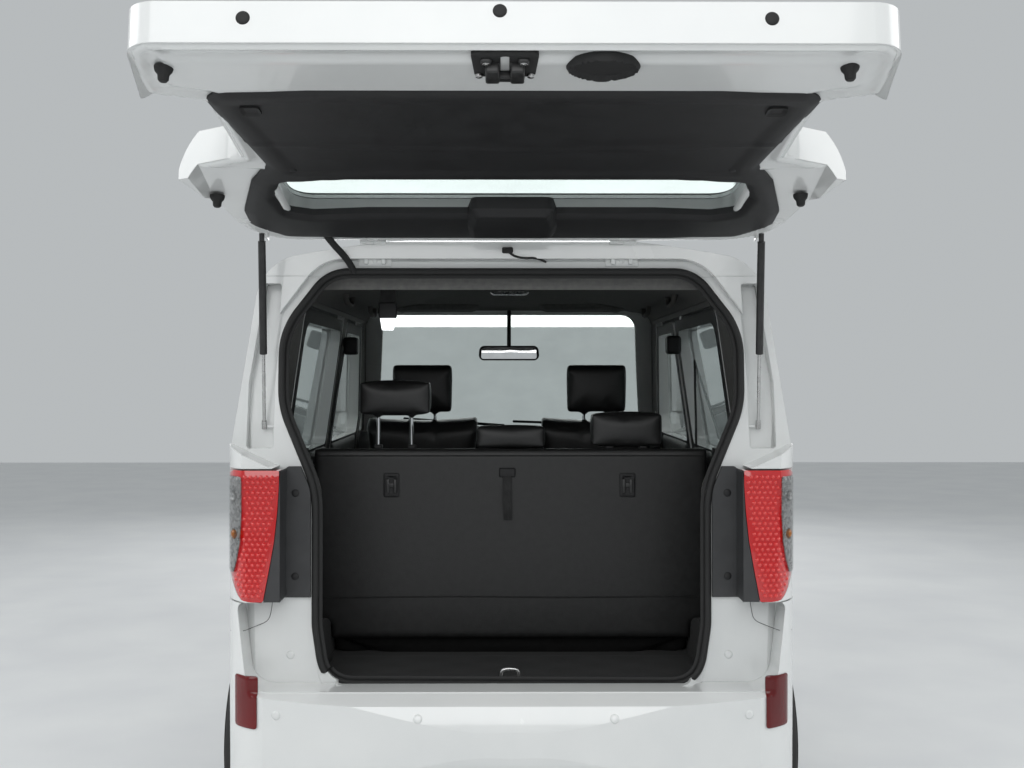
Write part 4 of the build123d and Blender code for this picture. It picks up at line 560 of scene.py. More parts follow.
def copies_tree():
    """Build the tree that puts one shape on every vertex, along its direction."""
    tree, made = group_of(
        "copies_on_points",
        (("Points", "Geometry"), ("Shape", "Object"), ("Scale", "Float"), ("Material", "Material")),
        (("shape", "GeometryNodeObjectInfo"), ("along", "GeometryNodeInputNamedAttribute"),
         ("turn", "FunctionNodeAlignRotationToVector"), ("copies", "GeometryNodeInstanceOnPoints")),
        (("entry.Points", "copies.Points"), ("entry.Shape", "shape.Object"), ("shape.Geometry", "copies.Instance"),
         ("turn.Rotation", "copies.Rotation"), ("entry.Scale", "copies.Scale"),
         ("copies.Instances", "whole.Geometry")))
    made["along"].data_type = "FLOAT_VECTOR"
    made["along"].inputs["Name"].default_value = "along"
    made["turn"].axis = "Z"
    tree.links.new(made["along"].outputs["Attribute"], made["turn"].inputs["Vector"])
    return tree


SECTION = section_tree()
COPIES = copies_tree()


def grown(carrier, tree, name, **values):
    """Run a node tree on an object and return the plain mesh it makes."""
    bpy.context.scene.collection.objects.link(carrier)
    modifier = carrier.modifiers.new("grow", "NODES")
    modifier.node_group = tree
    for item in tree.interface.items_tree:
        if item.in_out == "INPUT" and item.name in values:
            modifier[item.identifier] = values[item.name]
    carrier.update_tag()
    graph = bpy.context.evaluated_depsgraph_get()
    mesh = bpy.data.meshes.new_from_object(carrier.evaluated_get(graph), preserve_all_data_layers=True,
                                           depsgraph=graph)
    mesh.name = name
    bpy.data.objects.remove(carrier)
    return mesh


def line(name, paths, width, material, body, slot, height=None, sides=12, closed=False, smooth=False, shut=False):
    """Sweep a section along one or more paths."""
    curve = bpy.data.curves.new(name, "CURVE")
    curve.dimensions = "3D"
    for path in paths:
        spline = curve.splines.new("NURBS" if smooth else "POLY")
        spline.points.add(len(path) - 1)
        for point, place in zip(spline.points, path):
            point.co = (*place, 1)
        spline.use_cyclic_u = closed
        if smooth:
            spline.order_u = 3
            spline.use_endpoint_u = not closed
            spline.resolution_u = 10
    mesh = grown(bpy.data.objects.new(name, curve), SECTION, name, Width=width, Height=height or width,
                 Sides=sides, Material=material)
    return settle(mesh, name, material, body, slot, shut=shut, sharp=50.0)


def copies(name, places, shape, material, body, slot, scale=1.0, shut=False, sharp=35.0):
    """Put copies of a shape at (place, direction) pairs."""
    mesh = bpy.data.meshes.new(name)
    mesh.from_pydata([tuple(place) for place, _ in places], [], [])
    along = mesh.attributes.new("along", "FLOAT_VECTOR", "POINT")
    along.data.foreach_set("vector", [value for _, direction in places for value in direction])
    made = grown(bpy.data.objects.new(name, mesh), COPIES, name, Shape=shape, Scale=scale, Material=material)
    return settle(made, name, material, body, slot, shut=shut, sharp=sharp)


def pattern(name, profile, sides=16):
    """Turn a profile of (radius, height) into a hidden shape for copies."""
    bm = bmesh.new()
    rings = []
    for radius, height in profile:
        if radius < 1e-6:
            rings.append([bm.verts.new((0, 0, height))])
            continue
        rings.append([bm.verts.new((radius * math.cos(2 * math.pi * i / sides),
                                    radius * math.sin(2 * math.pi * i / sides), height)) for i in range(sides)])
    for low, high in zip(rings, rings[1:]):
        for i in range(sides):
            j = (i + 1) % sides
            corners = [low[i % len(low)], low[j % len(low)], high[j % len(high)], high[i % len(high)]]
            bm.faces.new(list(dict.fromkeys(corners)))
    bmesh.ops.recalc_face_normals(bm, faces=bm.faces[:])
    mesh = bpy.data.meshes.new(name)
    bm.to_mesh(mesh)
    bm.free()
    return bpy.data.objects.new(name, mesh)


def moulding(name, boxes, material, body, slot, bevel=0.003, shut=False, turn=None):
    """Join bevelled blocks, each (low corner, high corner), into one moulding."""
    bm = bmesh.new()
    for low, high in boxes:
        made = bmesh.ops.create_cube(bm, size=1.0)["verts"]
        for corner in made:
            corner.co = Vector([(lo + hi) / 2 + c * (hi - lo) for lo, hi, c in zip(low, high, corner.co)])
        sides = list({edge for corner in made for edge in corner.link_edges})
        small = min(hi - lo for lo, hi in zip(low, high))
        bmesh.ops.bevel(bm, geom=sides, offset=min(bevel, 0.45 * small), segments=3, profile=0.5, affect="EDGES")
    if turn is not None:
        bmesh.ops.transform(bm, matrix=turn, verts=bm.verts[:])
    return settle_bm(bm, name, material, body, slot, shut=shut, sharp=40.0)


SCREW = pattern("screw_shape", ((0, 0.0032), (0.003, 0.003), (0.0034, 0.0018), (0.0058, 0.0018), (0.0072, 0.0006),
                                (0.0076, -0.003)))
CAP = pattern("cap_shape", ((0, 0.0026), (0.006, 0.0024), (0.0085, 0.0014), (0.0095, 0.0), (0.0098, -0.003)), 24)
STOP = pattern("stop_shape", ((0, 0.026), (0.007, 0.0255), (0.010, 0.022), (0.011, 0.012), (0.016, 0.006),
                              (0.0175, 0.001), (0.0178, -0.004)), 24)
DOME = pattern("dome_shape", ((0, 0.0042), (0.0028, 0.0036), (0.0048, 0.0018), (0.0056, 0.0), (0.0058, -0.001)), 12)
print("helpers ready")

# %% [markdown]
# The inside of the tailgate fills the top of the photograph. On the real car
# it is a steel pressing: a rolled lip along the edge, a channel inside it and
# a raised middle that the black trim is clipped to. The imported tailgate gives
# the edge. Its inner face is measured by rays and smoothed into a formula, so
# that pieces can also cross the window opening.

# %% The tailgate's inner face as a formula
gate_face = surface_of("tailgate", shut=True)
INNER_Y = (1.06, 1.2)


def face_powers(x, z):
    """Give the formula's terms at a place."""
    return [1, z, z * z, z ** 3, z ** 4, x * x, x * x * z, x ** 4]


def fitted_face():
    """Fit a smooth surface y(x, z) through the inner face's hits."""
    rows, values = [], []
    for x in np.linspace(-0.6, 0.6, 41):
        for z in np.linspace(0.52, 1.62, 56):
            hit, normal, _, _ = gate_face.ray_cast(Vector((float(x), -3, float(z))), Vector((0, 1, 0)))
            if hit is not None and INNER_Y[0] < hit.y < INNER_Y[1] and normal.y < -0.7:
                rows.append(face_powers(x, z))
                values.append(hit.y)
    values = np.array(values)
    rows = np.array(rows)
    for _ in range(3):
        terms = np.linalg.lstsq(rows, values, rcond=None)[0]
        near = abs(rows @ terms - values) < 0.01
        rows, values = rows[near], values[near]
    return terms


FACE_TERMS = fitted_face()


def gate_y(x, z):
    """Give the inner face's y, tailgate shut."""
    return float(np.dot(FACE_TERMS, face_powers(x, z)))


def gate_edge(z):
    """Give the half width of the inner face at a height."""
    last = 0.56
    for x in np.arange(0.56, 0.80, 0.002):
        hit = gate_face.ray_cast(Vector((float(x), -3, z)), Vector((0, 1, 0)))[0]
        if hit is None or hit.y > gate_y(x, z) + 0.03:
            break
        last = float(x)
    return last


def gate_patch(name, outline, material, slot, body="tailgate", rise=None, **options):
    """Lay a patch on the inner face's formula; rise works as relief does."""
    def lifted(us, vs, apart):
        faces = np.array([-gate_y(u, v) for u, v in zip(us, vs)])
        return faces + (rise(us, vs, apart) if rise else 0.0)
    return patch(name, outline, None, "front", material, body, slot, relief=lifted, depth=0.0, flat=True,
                 shut=True, **options)


print("inner face at the latch", round(gate_y(0, 0.6), 4), "half width there", round(gate_edge(0.6), 3))

# %% [markdown]
# The pressing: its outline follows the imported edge, 6 mm inside it. The lip is
# a half wave along the border, and the middle stands up in a soft step. The
# small relief makers come back for every trim after it.


# %% Pressed inner panel
def smooth(values, low, high):
    """Ease from 0 at low to 1 at high."""
    t = np.clip((values - low) / (high - low), 0, 1)
    return t * t * (3 - 2 * t)


def raised(height, reach):
    """Make the relief of a pad with an eased border."""
    return lambda us, vs, apart: height * smooth(apart, 0, reach)


def dished(height, reach, sink, low, high):
    """Make the relief of a pad with a sunken middle."""
    return lambda us, vs, apart: height * smooth(apart, 0, reach) - sink * smooth(apart, low, high)


def rolled(height, reach):
    """Make the relief of a rolled rim along the border."""
    return lambda us, vs, apart: height * np.sin(np.clip(apart / reach, 0, 1) * math.pi)


EDGE_INSET = 0.006
PANEL_FOOT = 0.498
PANEL_TOP = 1.655
edge_line = [(gate_edge(float(z)) - EDGE_INSET, float(z)) for z in np.linspace(PANEL_FOOT, PANEL_TOP, 90)]
TRIM_HALF = ((0.40, 0.682), (0.572, 0.694), (0.606, 0.735), (0.600, 0.80), (0.556, 1.105), (0.612, 1.21),
             (0.668, 1.40), (0.672, 1.50), (0.60, 1.595), (0.40, 1.61))
TRIM_ROUND = 0.03
trim_line = rounded(both_halves(TRIM_HALF), TRIM_ROUND)
inner_hole = rounded(both_halves([(x - 0.012, z + (0.012 if z < 1 else -0.012)) for x, z in TRIM_HALF]), TRIM_ROUND)


def lip_and_channel(us, vs, apart):
    """Shape the rolled lip, the channel and the raised middle."""
    outer = edge_distance(np.stack([us, vs], axis=1), [both_halves(edge_line)])
    lip = 0.007 * np.sin(np.clip(outer / 0.020, 0, 1) * math.pi) ** 0.7
    middle = 0.007 * smooth(outer, 0.042, 0.062)
    return lip + middle


inner_panel = gate_patch("tailgate_inner_panel", both_halves(edge_line), white_paint, "body_paint",
                         holes=[inner_hole], rise=lip_and_channel, pitch=0.009, lift=0.001, skirt=0.006, sharp=60.0)
print("inner panel faces", len(inner_panel.data.polygons))

# %% [markdown]
# The trim is one moulding from the latch to the hinges with a window in it.
# Photograph and packed plate differ a little in outline, so this moulding
# stands for the plate. Two finger slots, a row of clip heads and the housing
# of the high brake lamp sit on it.

# %% Tailgate trim
WINDOW_HALF = ((0.385, 1.185), (0.545, 1.205), (0.575, 1.30), (0.560, 1.405), (0.50, 1.43), (0.36, 1.415))


def trim_form(us, vs, apart):
    """Round the border and press two shallow fields into the moulding."""
    border = 0.010 * smooth(apart, 0.0, 0.018)
    field = 0.004 * smooth(apart, 0.045, 0.06) * (vs < 1.14)
    crease = 0.003 * np.exp(-((vs - 1.0 + 0.12 * us * us) / 0.006) ** 2)
    return border - field + crease


gate_trim = gate_patch("tailgate_trim_moulding", trim_line, black_grain, "black_plastic",
                       holes=[rounded(both_halves(WINDOW_HALF), 0.03)], rise=trim_form, pitch=0.010, lift=0.006,
                       skirt=0.016, sharp=50.0)
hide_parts("tailgate_trim")


def on_gate(x, z, out=0.0):
    """Give a point on the tailgate's inner face, standing out towards the cabin."""
    return Vector((x, gate_y(x, z) - out, z))


INWARD = Vector((0, -1, 0))
clip_places = [(on_gate(side * x, z, 0.012), INWARD) for side in (1, -1)
               for x, z in ((0.52, 0.73), (0.30, 0.72), (0.12, 0.715), (0.545, 0.90), (0.50, 1.12), (0.62, 1.33),
                            (0.62, 1.52), (0.35, 1.57), (0.12, 1.575))]
copies("tailgate_trim_clips", clip_places, CAP, black_grain, "tailgate", "black_plastic", shut=True)
for side, word in SIDES:
    slot_line = rounded([(side * x, z) for x, z in ((0.505, 0.755), (0.545, 0.755), (0.545, 0.80), (0.505, 0.80))],
                        0.012)
    gate_patch("finger_slot_" + word, slot_line, soft_rubber, "seal_rubber", pitch=0.006, lift=0.0165,
               rise=raised(-0.006, 0.01), skirt=0.004)
gate_patch(
    "high_lamp_housing", rounded(both_halves(((0.10, 1.36), (0.118, 1.47), (0.115, 1.56))), 0.02), black_grain,
    "black_plastic", pitch=0.008, lift=0.014, rise=raised(0.018, 0.02), skirt=0.03)
print("trim faces", len(gate_trim.data.polygons))

# %% [markdown]
# Latch, hand recess, rubber stops and blanking plugs, each where the
# photograph shows it. The latch is a plate with a slot for the striker, two
# claw arms and its screws; the recess is one oval cup with two faint wells.

# %% Latch, hand recess, stops and plugs
LATCH_X = 0.018
gate_patch(
    "latch_plate", rounded([(LATCH_X - 0.062, 0.515), (LATCH_X + 0.062, 0.515), (LATCH_X + 0.056, 0.615),
                            (LATCH_X - 0.056, 0.615)], 0.012),
    soft_rubber, "seal_rubber", holes=[slab(LATCH_X - 0.008, LATCH_X + 0.008, 0.53, 0.60, 0.004)],
    pitch=0.006, lift=0.009, rise=raised(0.003, 0.006), skirt=0.008)
LATCH_Y = gate_y(LATCH_X, 0.56)
moulding("latch_body", [((LATCH_X - 0.036, LATCH_Y - 0.030, 0.548), (LATCH_X - 0.010, LATCH_Y - 0.008, 0.606)),
                        ((LATCH_X + 0.010, LATCH_Y - 0.030, 0.548), (LATCH_X + 0.036, LATCH_Y - 0.008, 0.606)),
                        ((LATCH_X - 0.036, LATCH_Y - 0.024, 0.590), (LATCH_X + 0.036, LATCH_Y - 0.008, 0.612)),
                        ((LATCH_X - 0.044, LATCH_Y - 0.018, 0.530), (LATCH_X - 0.024, LATCH_Y - 0.008, 0.552)),
                        ((LATCH_X + 0.024, LATCH_Y - 0.018, 0.530), (LATCH_X + 0.044, LATCH_Y - 0.008, 0.552))],
         black_steel, "tailgate", "black_steel", bevel=0.004, shut=True)
copies("latch_screws", [(Vector((LATCH_X + dx, LATCH_Y - 0.017, z)), INWARD)
                        for dx, z in ((-0.048, 0.60), (0.048, 0.60), (0.034, 0.541), (-0.034, 0.541))],
       SCREW, bare_steel, "tailgate", "bare_steel", shut=True)
RECESS = (-0.162, 0.572)
oval = [(RECESS[0] + 0.062 * math.cos(t) * (1 + 0.10 * math.cos(2 * t)), RECESS[1] + 0.050 * math.sin(t))
        for t in np.linspace(0, 2 * math.pi, 48, endpoint=False)]


def cup(us, vs, apart):
    """Raise a rim and sink two wells in the hand recess."""
    rim = rolled(0.009, 0.010)(us, vs, apart)
    wells = sum(np.exp(-(((us - RECESS[0] - dx) / 0.022) ** 2 + ((vs - RECESS[1]) / 0.026) ** 2))
                for dx in (-0.03, 0.03))
    return rim - 0.0015 * wells


gate_patch("hand_recess", oval, soft_rubber, "seal_rubber", pitch=0.005, lift=0.010, rise=cup, skirt=0.010)
STOPS = ((0.645, 0.585), (-0.615, 0.575), (0.712, 1.30), (-0.695, 1.29))
copies("rubber_stops", [(on_gate(x, z, 0.008), INWARD) for x, z in STOPS], STOP, *GATE_RUBBER, shut=True)
FOOT_FACE_Z = 0.492
copies("tailgate_plugs", [(Vector((x, y, FOOT_FACE_Z)), Vector((0, 0, -1)))
                          for x, y in ((0.482, 1.208), (0.027, 1.222), (-0.456, 1.208))],
       CAP, *GATE_RUBBER, scale=1.35, shut=True)
print("latch at", round(LATCH_Y, 3))

# %% [markdown]
# Two hinges carry the tailgate. Each has a foot plate screwed to the roof's
# rear edge and a bent arm on the tailgate that wraps the pin.

# %% Hinges
HINGE_PLACES = (0.376, -0.304)
roof_rear = surface_of("roof_panel", "side_frame_left", "side_frame_right")
for place, word in zip(HINGE_PLACES, ("left", "right")):
    foot_z = HINGE.z - 0.052
    hit = from_behind(roof_rear, place, foot_z, BEHIND_CAR)[0]
    foot_y = hit.y if hit else HINGE.y
    moulding("hinge_foot_" + word,
             [((place - 0.046, foot_y - 0.002, foot_z - 0.012), (place + 0.046, foot_y + 0.004, foot_z + 0.020)),
              ((place - 0.030, foot_y - 0.002, foot_z - 0.006), (place - 0.018, foot_y + 0.016, HINGE.z - 0.006)),
              ((place + 0.018, foot_y - 0.002, foot_z - 0.006), (place + 0.030, foot_y + 0.016, HINGE.z - 0.006))],
             *PAINTED, bevel=0.003)
    copies("hinge_bolts_" + word, [(Vector((place + dx, foot_y + 0.004, foot_z + 0.004)), Vector((0, 1, 0)))
                                   for dx in (-0.037, 0.0, 0.037)], CAP, *PAINTED, scale=0.8)
    arm_y = gate_y(place, 1.60)
    moulding("hinge_arm_" + word,
             [((place - 0.016, arm_y - 0.007, 1.560), (place + 0.016, arm_y + 0.002, 1.662)),
              ((place - 0.036, arm_y - 0.006, 1.560), (place + 0.036, arm_y + 0.002, 1.600))],
             *GATE_PAINT, bevel=0.003, shut=True)

# %% [markdown]
# The rubber gaiter over the harness runs from the left of the roof's edge to
# the tailgate. It bends as the tailgate moves; here it is one plain tube along
# its path, left without a body.

# %% Harness gaiter and washer hose
GAITER = [(0.432, 1.084, 1.602), (0.440, 1.100, 1.622), (0.458, 1.128, 1.648), (0.480, 1.155, 1.672),
          (0.496, 1.176, 1.694)]
gaiter = line("harness_gaiter", [GAITER], 0.019, soft_rubber, None, "seal_rubber", smooth=True)
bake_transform(gaiter)
hose_hit = [from_behind(roof_rear, x, z, BEHIND_CAR)[0]
            for x, z in ((0.012, 1.664), (0.004, 1.648), (-0.030, 1.638), (-0.07, 1.640), (-0.094, 1.632))]
line("washer_hose", [[tuple(hit + Vector((0, 0.004, 0))) for hit in hose_hit if hit]], 0.006, *RUBBER, smooth=True)
moulding("hose_joint", [((-0.004, 1.110, 1.652), (0.026, 1.124, 1.668))], *RUBBER, bevel=0.004)
print("gaiter and hose")

# %% [markdown]
# The load opening has rounder corners in the photograph than in the pack, so a
# thin white collar rounds them. The seal is an extruded rubber section pushed
# on the flange all the way round: one section along one path, and its lip.

# %% Boot seal
APERTURE = ((0.505, 0.470), (0.528, 0.640), (0.528, 1.010), (0.622, 1.235), (0.622, 1.440), (0.500, 1.600))
APERTURE_ROUND = [0.06, 0.12, 0.12, 0.12, 0.16, 0.09]
packed_opening = rounded(both_halves(APERTURE), APERTURE_ROUND + APERTURE_ROUND[::-1], steps=12)
SOFT_ROUND = [0.13, 0.25, 0.30, 0.25, 0.20, 0.11]
FOOT_RISE = 0.014
soft_aperture = ((0.505, 0.470 + FOOT_RISE),) + APERTURE[1:]
opening = rounded(both_halves(soft_aperture), SOFT_ROUND + SOFT_ROUND[::-1], steps=14)
seal_top = surface_of("boot_seal")


def outset(loop, reach):
    """Move a closed outline outwards."""
    ring = np.array(loop)
    ahead = np.roll(ring, -1, axis=0) - np.roll(ring, 1, axis=0)
    side = np.stack([ahead[:, 1], -ahead[:, 0]], axis=1)
    side /= np.linalg.norm(side, axis=1)[:, None]
    area = 0.5 * np.sum(ring[:, 0] * np.roll(ring[:, 1], -1) - np.roll(ring[:, 0], -1) * ring[:, 1])
    return [tuple(point) for point in ring + side * reach * (1 if area > 0 else -1)]


frame_face = surface_of("side_frame_left", "side_frame_right", "rear_panel", "roof_panel")
FRAME_DEEPEST = 1.93
patch("opening_collar", outset(packed_opening, 0.016), frame_face, "back", *PAINTED,
      holes=[opening], pitch=0.03, lift=0.0015, skirt=0.02, deepest=FRAME_DEEPEST)
SEAL_LEAST_Y = 1.09
SEAL_START_Y = 1.118
seal_path = [(0, SEAL_START_Y, 0)]
for x, z in outset(opening, 0.005):
    hit = from_behind(seal_top, x, z, BEHIND_CAR)[0]
    y = hit.y - 0.008 if hit and hit.y > SEAL_LEAST_Y else seal_path[-1][1]
    seal_path.append((x, y, z))
del seal_path[0]
seal = line("boot_seal_tube", [seal_path], 0.017, *RUBBER, height=0.019, sides=16,
            closed=True)
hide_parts("boot_seal")
lip_path = [(x, y - 0.010, z) for (x, z), (_, y, _) in zip(outset(opening, -0.006), seal_path)]
line("seal_lip", [lip_path], 0.007, *RUBBER, height=0.016, sides=10, closed=True)
print("seal points", len(seal_path))

# %% [markdown]
# Each tail lamp tapers towards its foot: wide at the top, its inner edge slants
# outwards and its outer edge curls under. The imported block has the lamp's
# surface, so three sheets are dropped on it: the red lens, a grey panel
# beside it and a white shoulder below it. A clear insert at the outer side
# holds two bulbs in a bright tray, and the red field is a grid of round cells.

# %% Tail lamps
lens_face = surface_of("tail_lamps")
panel_face = surface_of("lamp_panels")


def lens_edge(z):
    """Give the outermost x at which a ray from behind still meets the lamp."""
    last = 0.70
    for x in np.arange(0.70, 0.79, 0.001):
        if from_behind(lens_face, float(x), z)[0] is None:
            break
        last = float(x)
    return last


def inside(point, loop):
    """Tell whether a 2-D point lies inside a loop."""
    within = False
    for (x0, z0), (x1, z1) in zip(loop, loop[1:] + loop[:1]):
        if (z0 > point[1]) != (z1 > point[1]) and point[0] < (x1 - x0) * (point[1] - z0) / (z1 - z0) + x0:
            within = not within
    return within


LAMP_TOP = 1.068
LAMP_DEEPEST = 1.93
LAMP_FOOT = 0.722
outer_rim = [(min(lens_edge(float(z)) - 0.002, 0.700 + 1.05 * math.sqrt(max(float(z) - LAMP_FOOT, 0) * 0.035)),
              float(z)) for z in np.linspace(LAMP_FOOT + 0.004, LAMP_TOP - 0.012, 36)]
inner_rim = [(0.655, LAMP_FOOT), (0.640, 0.80), (0.626, 0.88), (0.6175, 0.96), (0.6135, 1.03), (0.6135, LAMP_TOP)]
lens_line = [(0.686, LAMP_FOOT)] + outer_rim + [(0.74, LAMP_TOP)] + inner_rim[::-1]
INSERT_IN = ((0.7395, 0.795), (0.727, 0.83), (0.716, 0.88), (0.7115, 0.95), (0.712, 1.052))
insert_line = [(min(lens_edge(z) - 0.005, 0.758), z) for z in (0.80, 0.84, 0.88, 0.92, 0.96, 1.0, 1.03, 1.052)]
insert_line = insert_line + list(INSERT_IN)[::-1]
CELL = 0.0143
CELL_START = (0.624, 0.738)
CELL_ROWS, CELL_COLUMNS = 24, 10
CELL_MARGIN = 0.009
BULB_X = 0.733
REFLECTOR = ((0.667, 0.393), (0.735, 0.393), (0.735, 0.529), (0.667, 0.529))
for side, word in SIDES:
    lens = rounded([(side * x, z) for x, z in lens_line], 0.004, steps=2)
    insert = rounded([(side * x, z) for x, z in insert_line], 0.006, steps=3)
    patch("lamp_lens_" + word, lens, lens_face, "back", red_lens, "body", "lamp_red", pitch=0.009, lift=0.001,
          relief=raised(0.003, 0.010), deepest=LAMP_DEEPEST, skirt=0.05)
    patch("reflector_" + word, rounded([(side * x, z) for x, z in REFLECTOR], 0.010), lens_face, "back",
          dark_red, "body", "lamp_red", pitch=0.006, lift=0.0005,
          relief=lambda us, vs, apart: 0.002 * smooth(apart, 0, 0.006)
          + 0.0005 * np.cos(us * 1100) * np.cos(vs * 1100), skirt=0.006)
    grey = [(side * x, z) for x, z in [(0.6105, LAMP_TOP), (0.6125, 1.03)]
            + [(x - 0.0015, z) for x, z in inner_rim[1:-2][::-1]] + [(0.6535, LAMP_FOOT), (0.6105, LAMP_FOOT)]]
    patch("lamp_side_panel_" + word, grey, lens_face, "back", grey_grain, "body", "grey_plastic", pitch=0.010,
          lift=0.0005, deepest=LAMP_DEEPEST, skirt=0.094)
    corner = [(side * x, z) for x, z in [(0.660, LAMP_FOOT - 0.002), (0.688, LAMP_FOOT + 0.001)]
              + [(x + 0.0015, z) for x, z in outer_rim[:14]] + [(lens_edge(0.86), 0.862)]
              + [(lens_edge(float(z)) - 0.0005, float(z)) for z in np.linspace(0.84, LAMP_FOOT, 8)]]
    patch("lamp_shoulder_" + word, corner, lens_face, "back", *PAINTED, pitch=0.010,
          lift=0.0002, deepest=LAMP_DEEPEST, skirt=0.04)
    cells = []
    for row in range(CELL_ROWS):
        for column in range(CELL_COLUMNS):
            x = side * (CELL_START[0] + CELL * (column + 0.5 * (row % 2)))
            z = CELL_START[1] + CELL * 0.95 * row
            here = np.array([[x, z]])
            if not inside((x, z), lens) or inside((x, z), insert):
                continue
            if min(edge_distance(here, [loop])[0] for loop in (insert, lens)) < CELL_MARGIN:
                continue
            hit, normal = from_behind(lens_face, x, z)
            if hit is not None and normal.y > 0.45:
                cells.append((hit + Vector((0, 0.0036, 0)), normal))
    copies("lamp_cells_" + word, cells, DOME, *RED_GLASS)
    patch("lamp_tray_" + word, insert, lens_face, "back", *REFLECTOR_SILVER, pitch=0.005, lift=0.005,
          relief=lambda us, vs, apart: 0.0008 * np.sin(vs * 700) * smooth(apart, 0, 0.006),
          deepest=LAMP_DEEPEST, skirt=0.004)
    for z, material, ending in ((1.0, clear_lens, "upper"), (0.90, amber, "lower")):
        hit, normal = from_behind(lens_face, side * BULB_X, z)
        copies("lamp_bulb_" + ending + "_" + word, [(hit + Vector((0, 0.006, 0)), normal)], DOME, material, "body",
               "lamp_clear", scale=2.6)
    patch("lamp_insert_" + word, insert, lens_face, "back", clear_lens, "body", "lamp_clear", pitch=0.008,
          lift=0.012, relief=raised(0.006, 0.012), deepest=LAMP_DEEPEST, skirt=0.010)
    caps = [from_behind(panel_face, side * x, z, BEHIND_CAR) for x, z in ((0.586, 1.0), (0.586, 0.775))]
    copies("panel_caps_" + word, [cap for cap in caps if cap[0]], CAP, *PLASTIC, scale=1.1)
    print("lamp cells", word, len(cells))
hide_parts("tail_lamps")

# %% [markdown]
# The bumper carries four parking sensors, two blanking plugs, and a seam
# where its corner meets the quarter panel.

# %% Bumper details
bumper_face = surface_of("rear_bumper")
skin_face = surface_of("rear_bumper", "side_frame_left", "side_frame_right", "rear_panel")


copies("parking_sensors", [from_behind(bumper_face, x, 0.433) for x in (0.615, 0.243, -0.265, -0.62)], CAP,
       *PAINTED, scale=1.25)
copies("bumper_plugs", [from_behind(skin_face, x, 0.560) for x in (0.600, -0.590)], CAP, *PAINTED, scale=1.2)
SEAM_POINTS = ((0.648, 0.716), (0.652, 0.68), (0.660, 0.652), (0.690, 0.640), (0.725, 0.636), (0.755, 0.634))
for side, word in SIDES:
    found = [from_behind(skin_face, side * x, z)[0] for x, z in SEAM_POINTS]
    line("bumper_seam_" + word, [[tuple(hit + Vector((0, 0.0002, 0))) for hit in found if hit]], 0.0022,
         *RUBBER, height=0.0016, sides=6, smooth=True)
print("bumper details")

# %% [markdown]
# Soft goods come from cloth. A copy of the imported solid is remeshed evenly,
# blown up a little like a cover over foam, and stopped where the real foam
# would stop it. Seams are pressed in afterwards, as stitching pulls a cover
# down. A back that is a hard board is held still by a pin weight. The cloth
# is left off the finished piece, which keeps only its swollen form.

# %% Helpers for padded pieces
PRESSURE = 4.0
COVER_MASS = 0.15
TENSION = 12
BENDING = 1.5
CLOTH_FRAMES = 20


def islands_of(name):
    """Give a node's separate solids as bmeshes, merged at their seams."""
    whole = bmesh.new()
    whole.from_mesh(nodes[name].data)
    bmesh.ops.remove_doubles(whole, verts=whole.verts[:], dist=1e-5)
    left = set(whole.verts)
    groups = []
    while left:
        front = [left.pop()]
        group = set(front)
        while front:
            for edge in front.pop().link_edges:
                for corner in edge.verts:
                    if corner in left:
                        left.discard(corner)
                        group.add(corner)
                        front.append(corner)
        groups.append(group)
    solids = []
    for group in groups:
        numbers = {corner: index for index, corner in enumerate(group)}
        faces = {face for corner in group for face in corner.link_faces}
        solids.append(([corner.co.copy() for corner in group], [[numbers[c] for c in face.verts] for face in faces]))
    whole.free()
    return solids


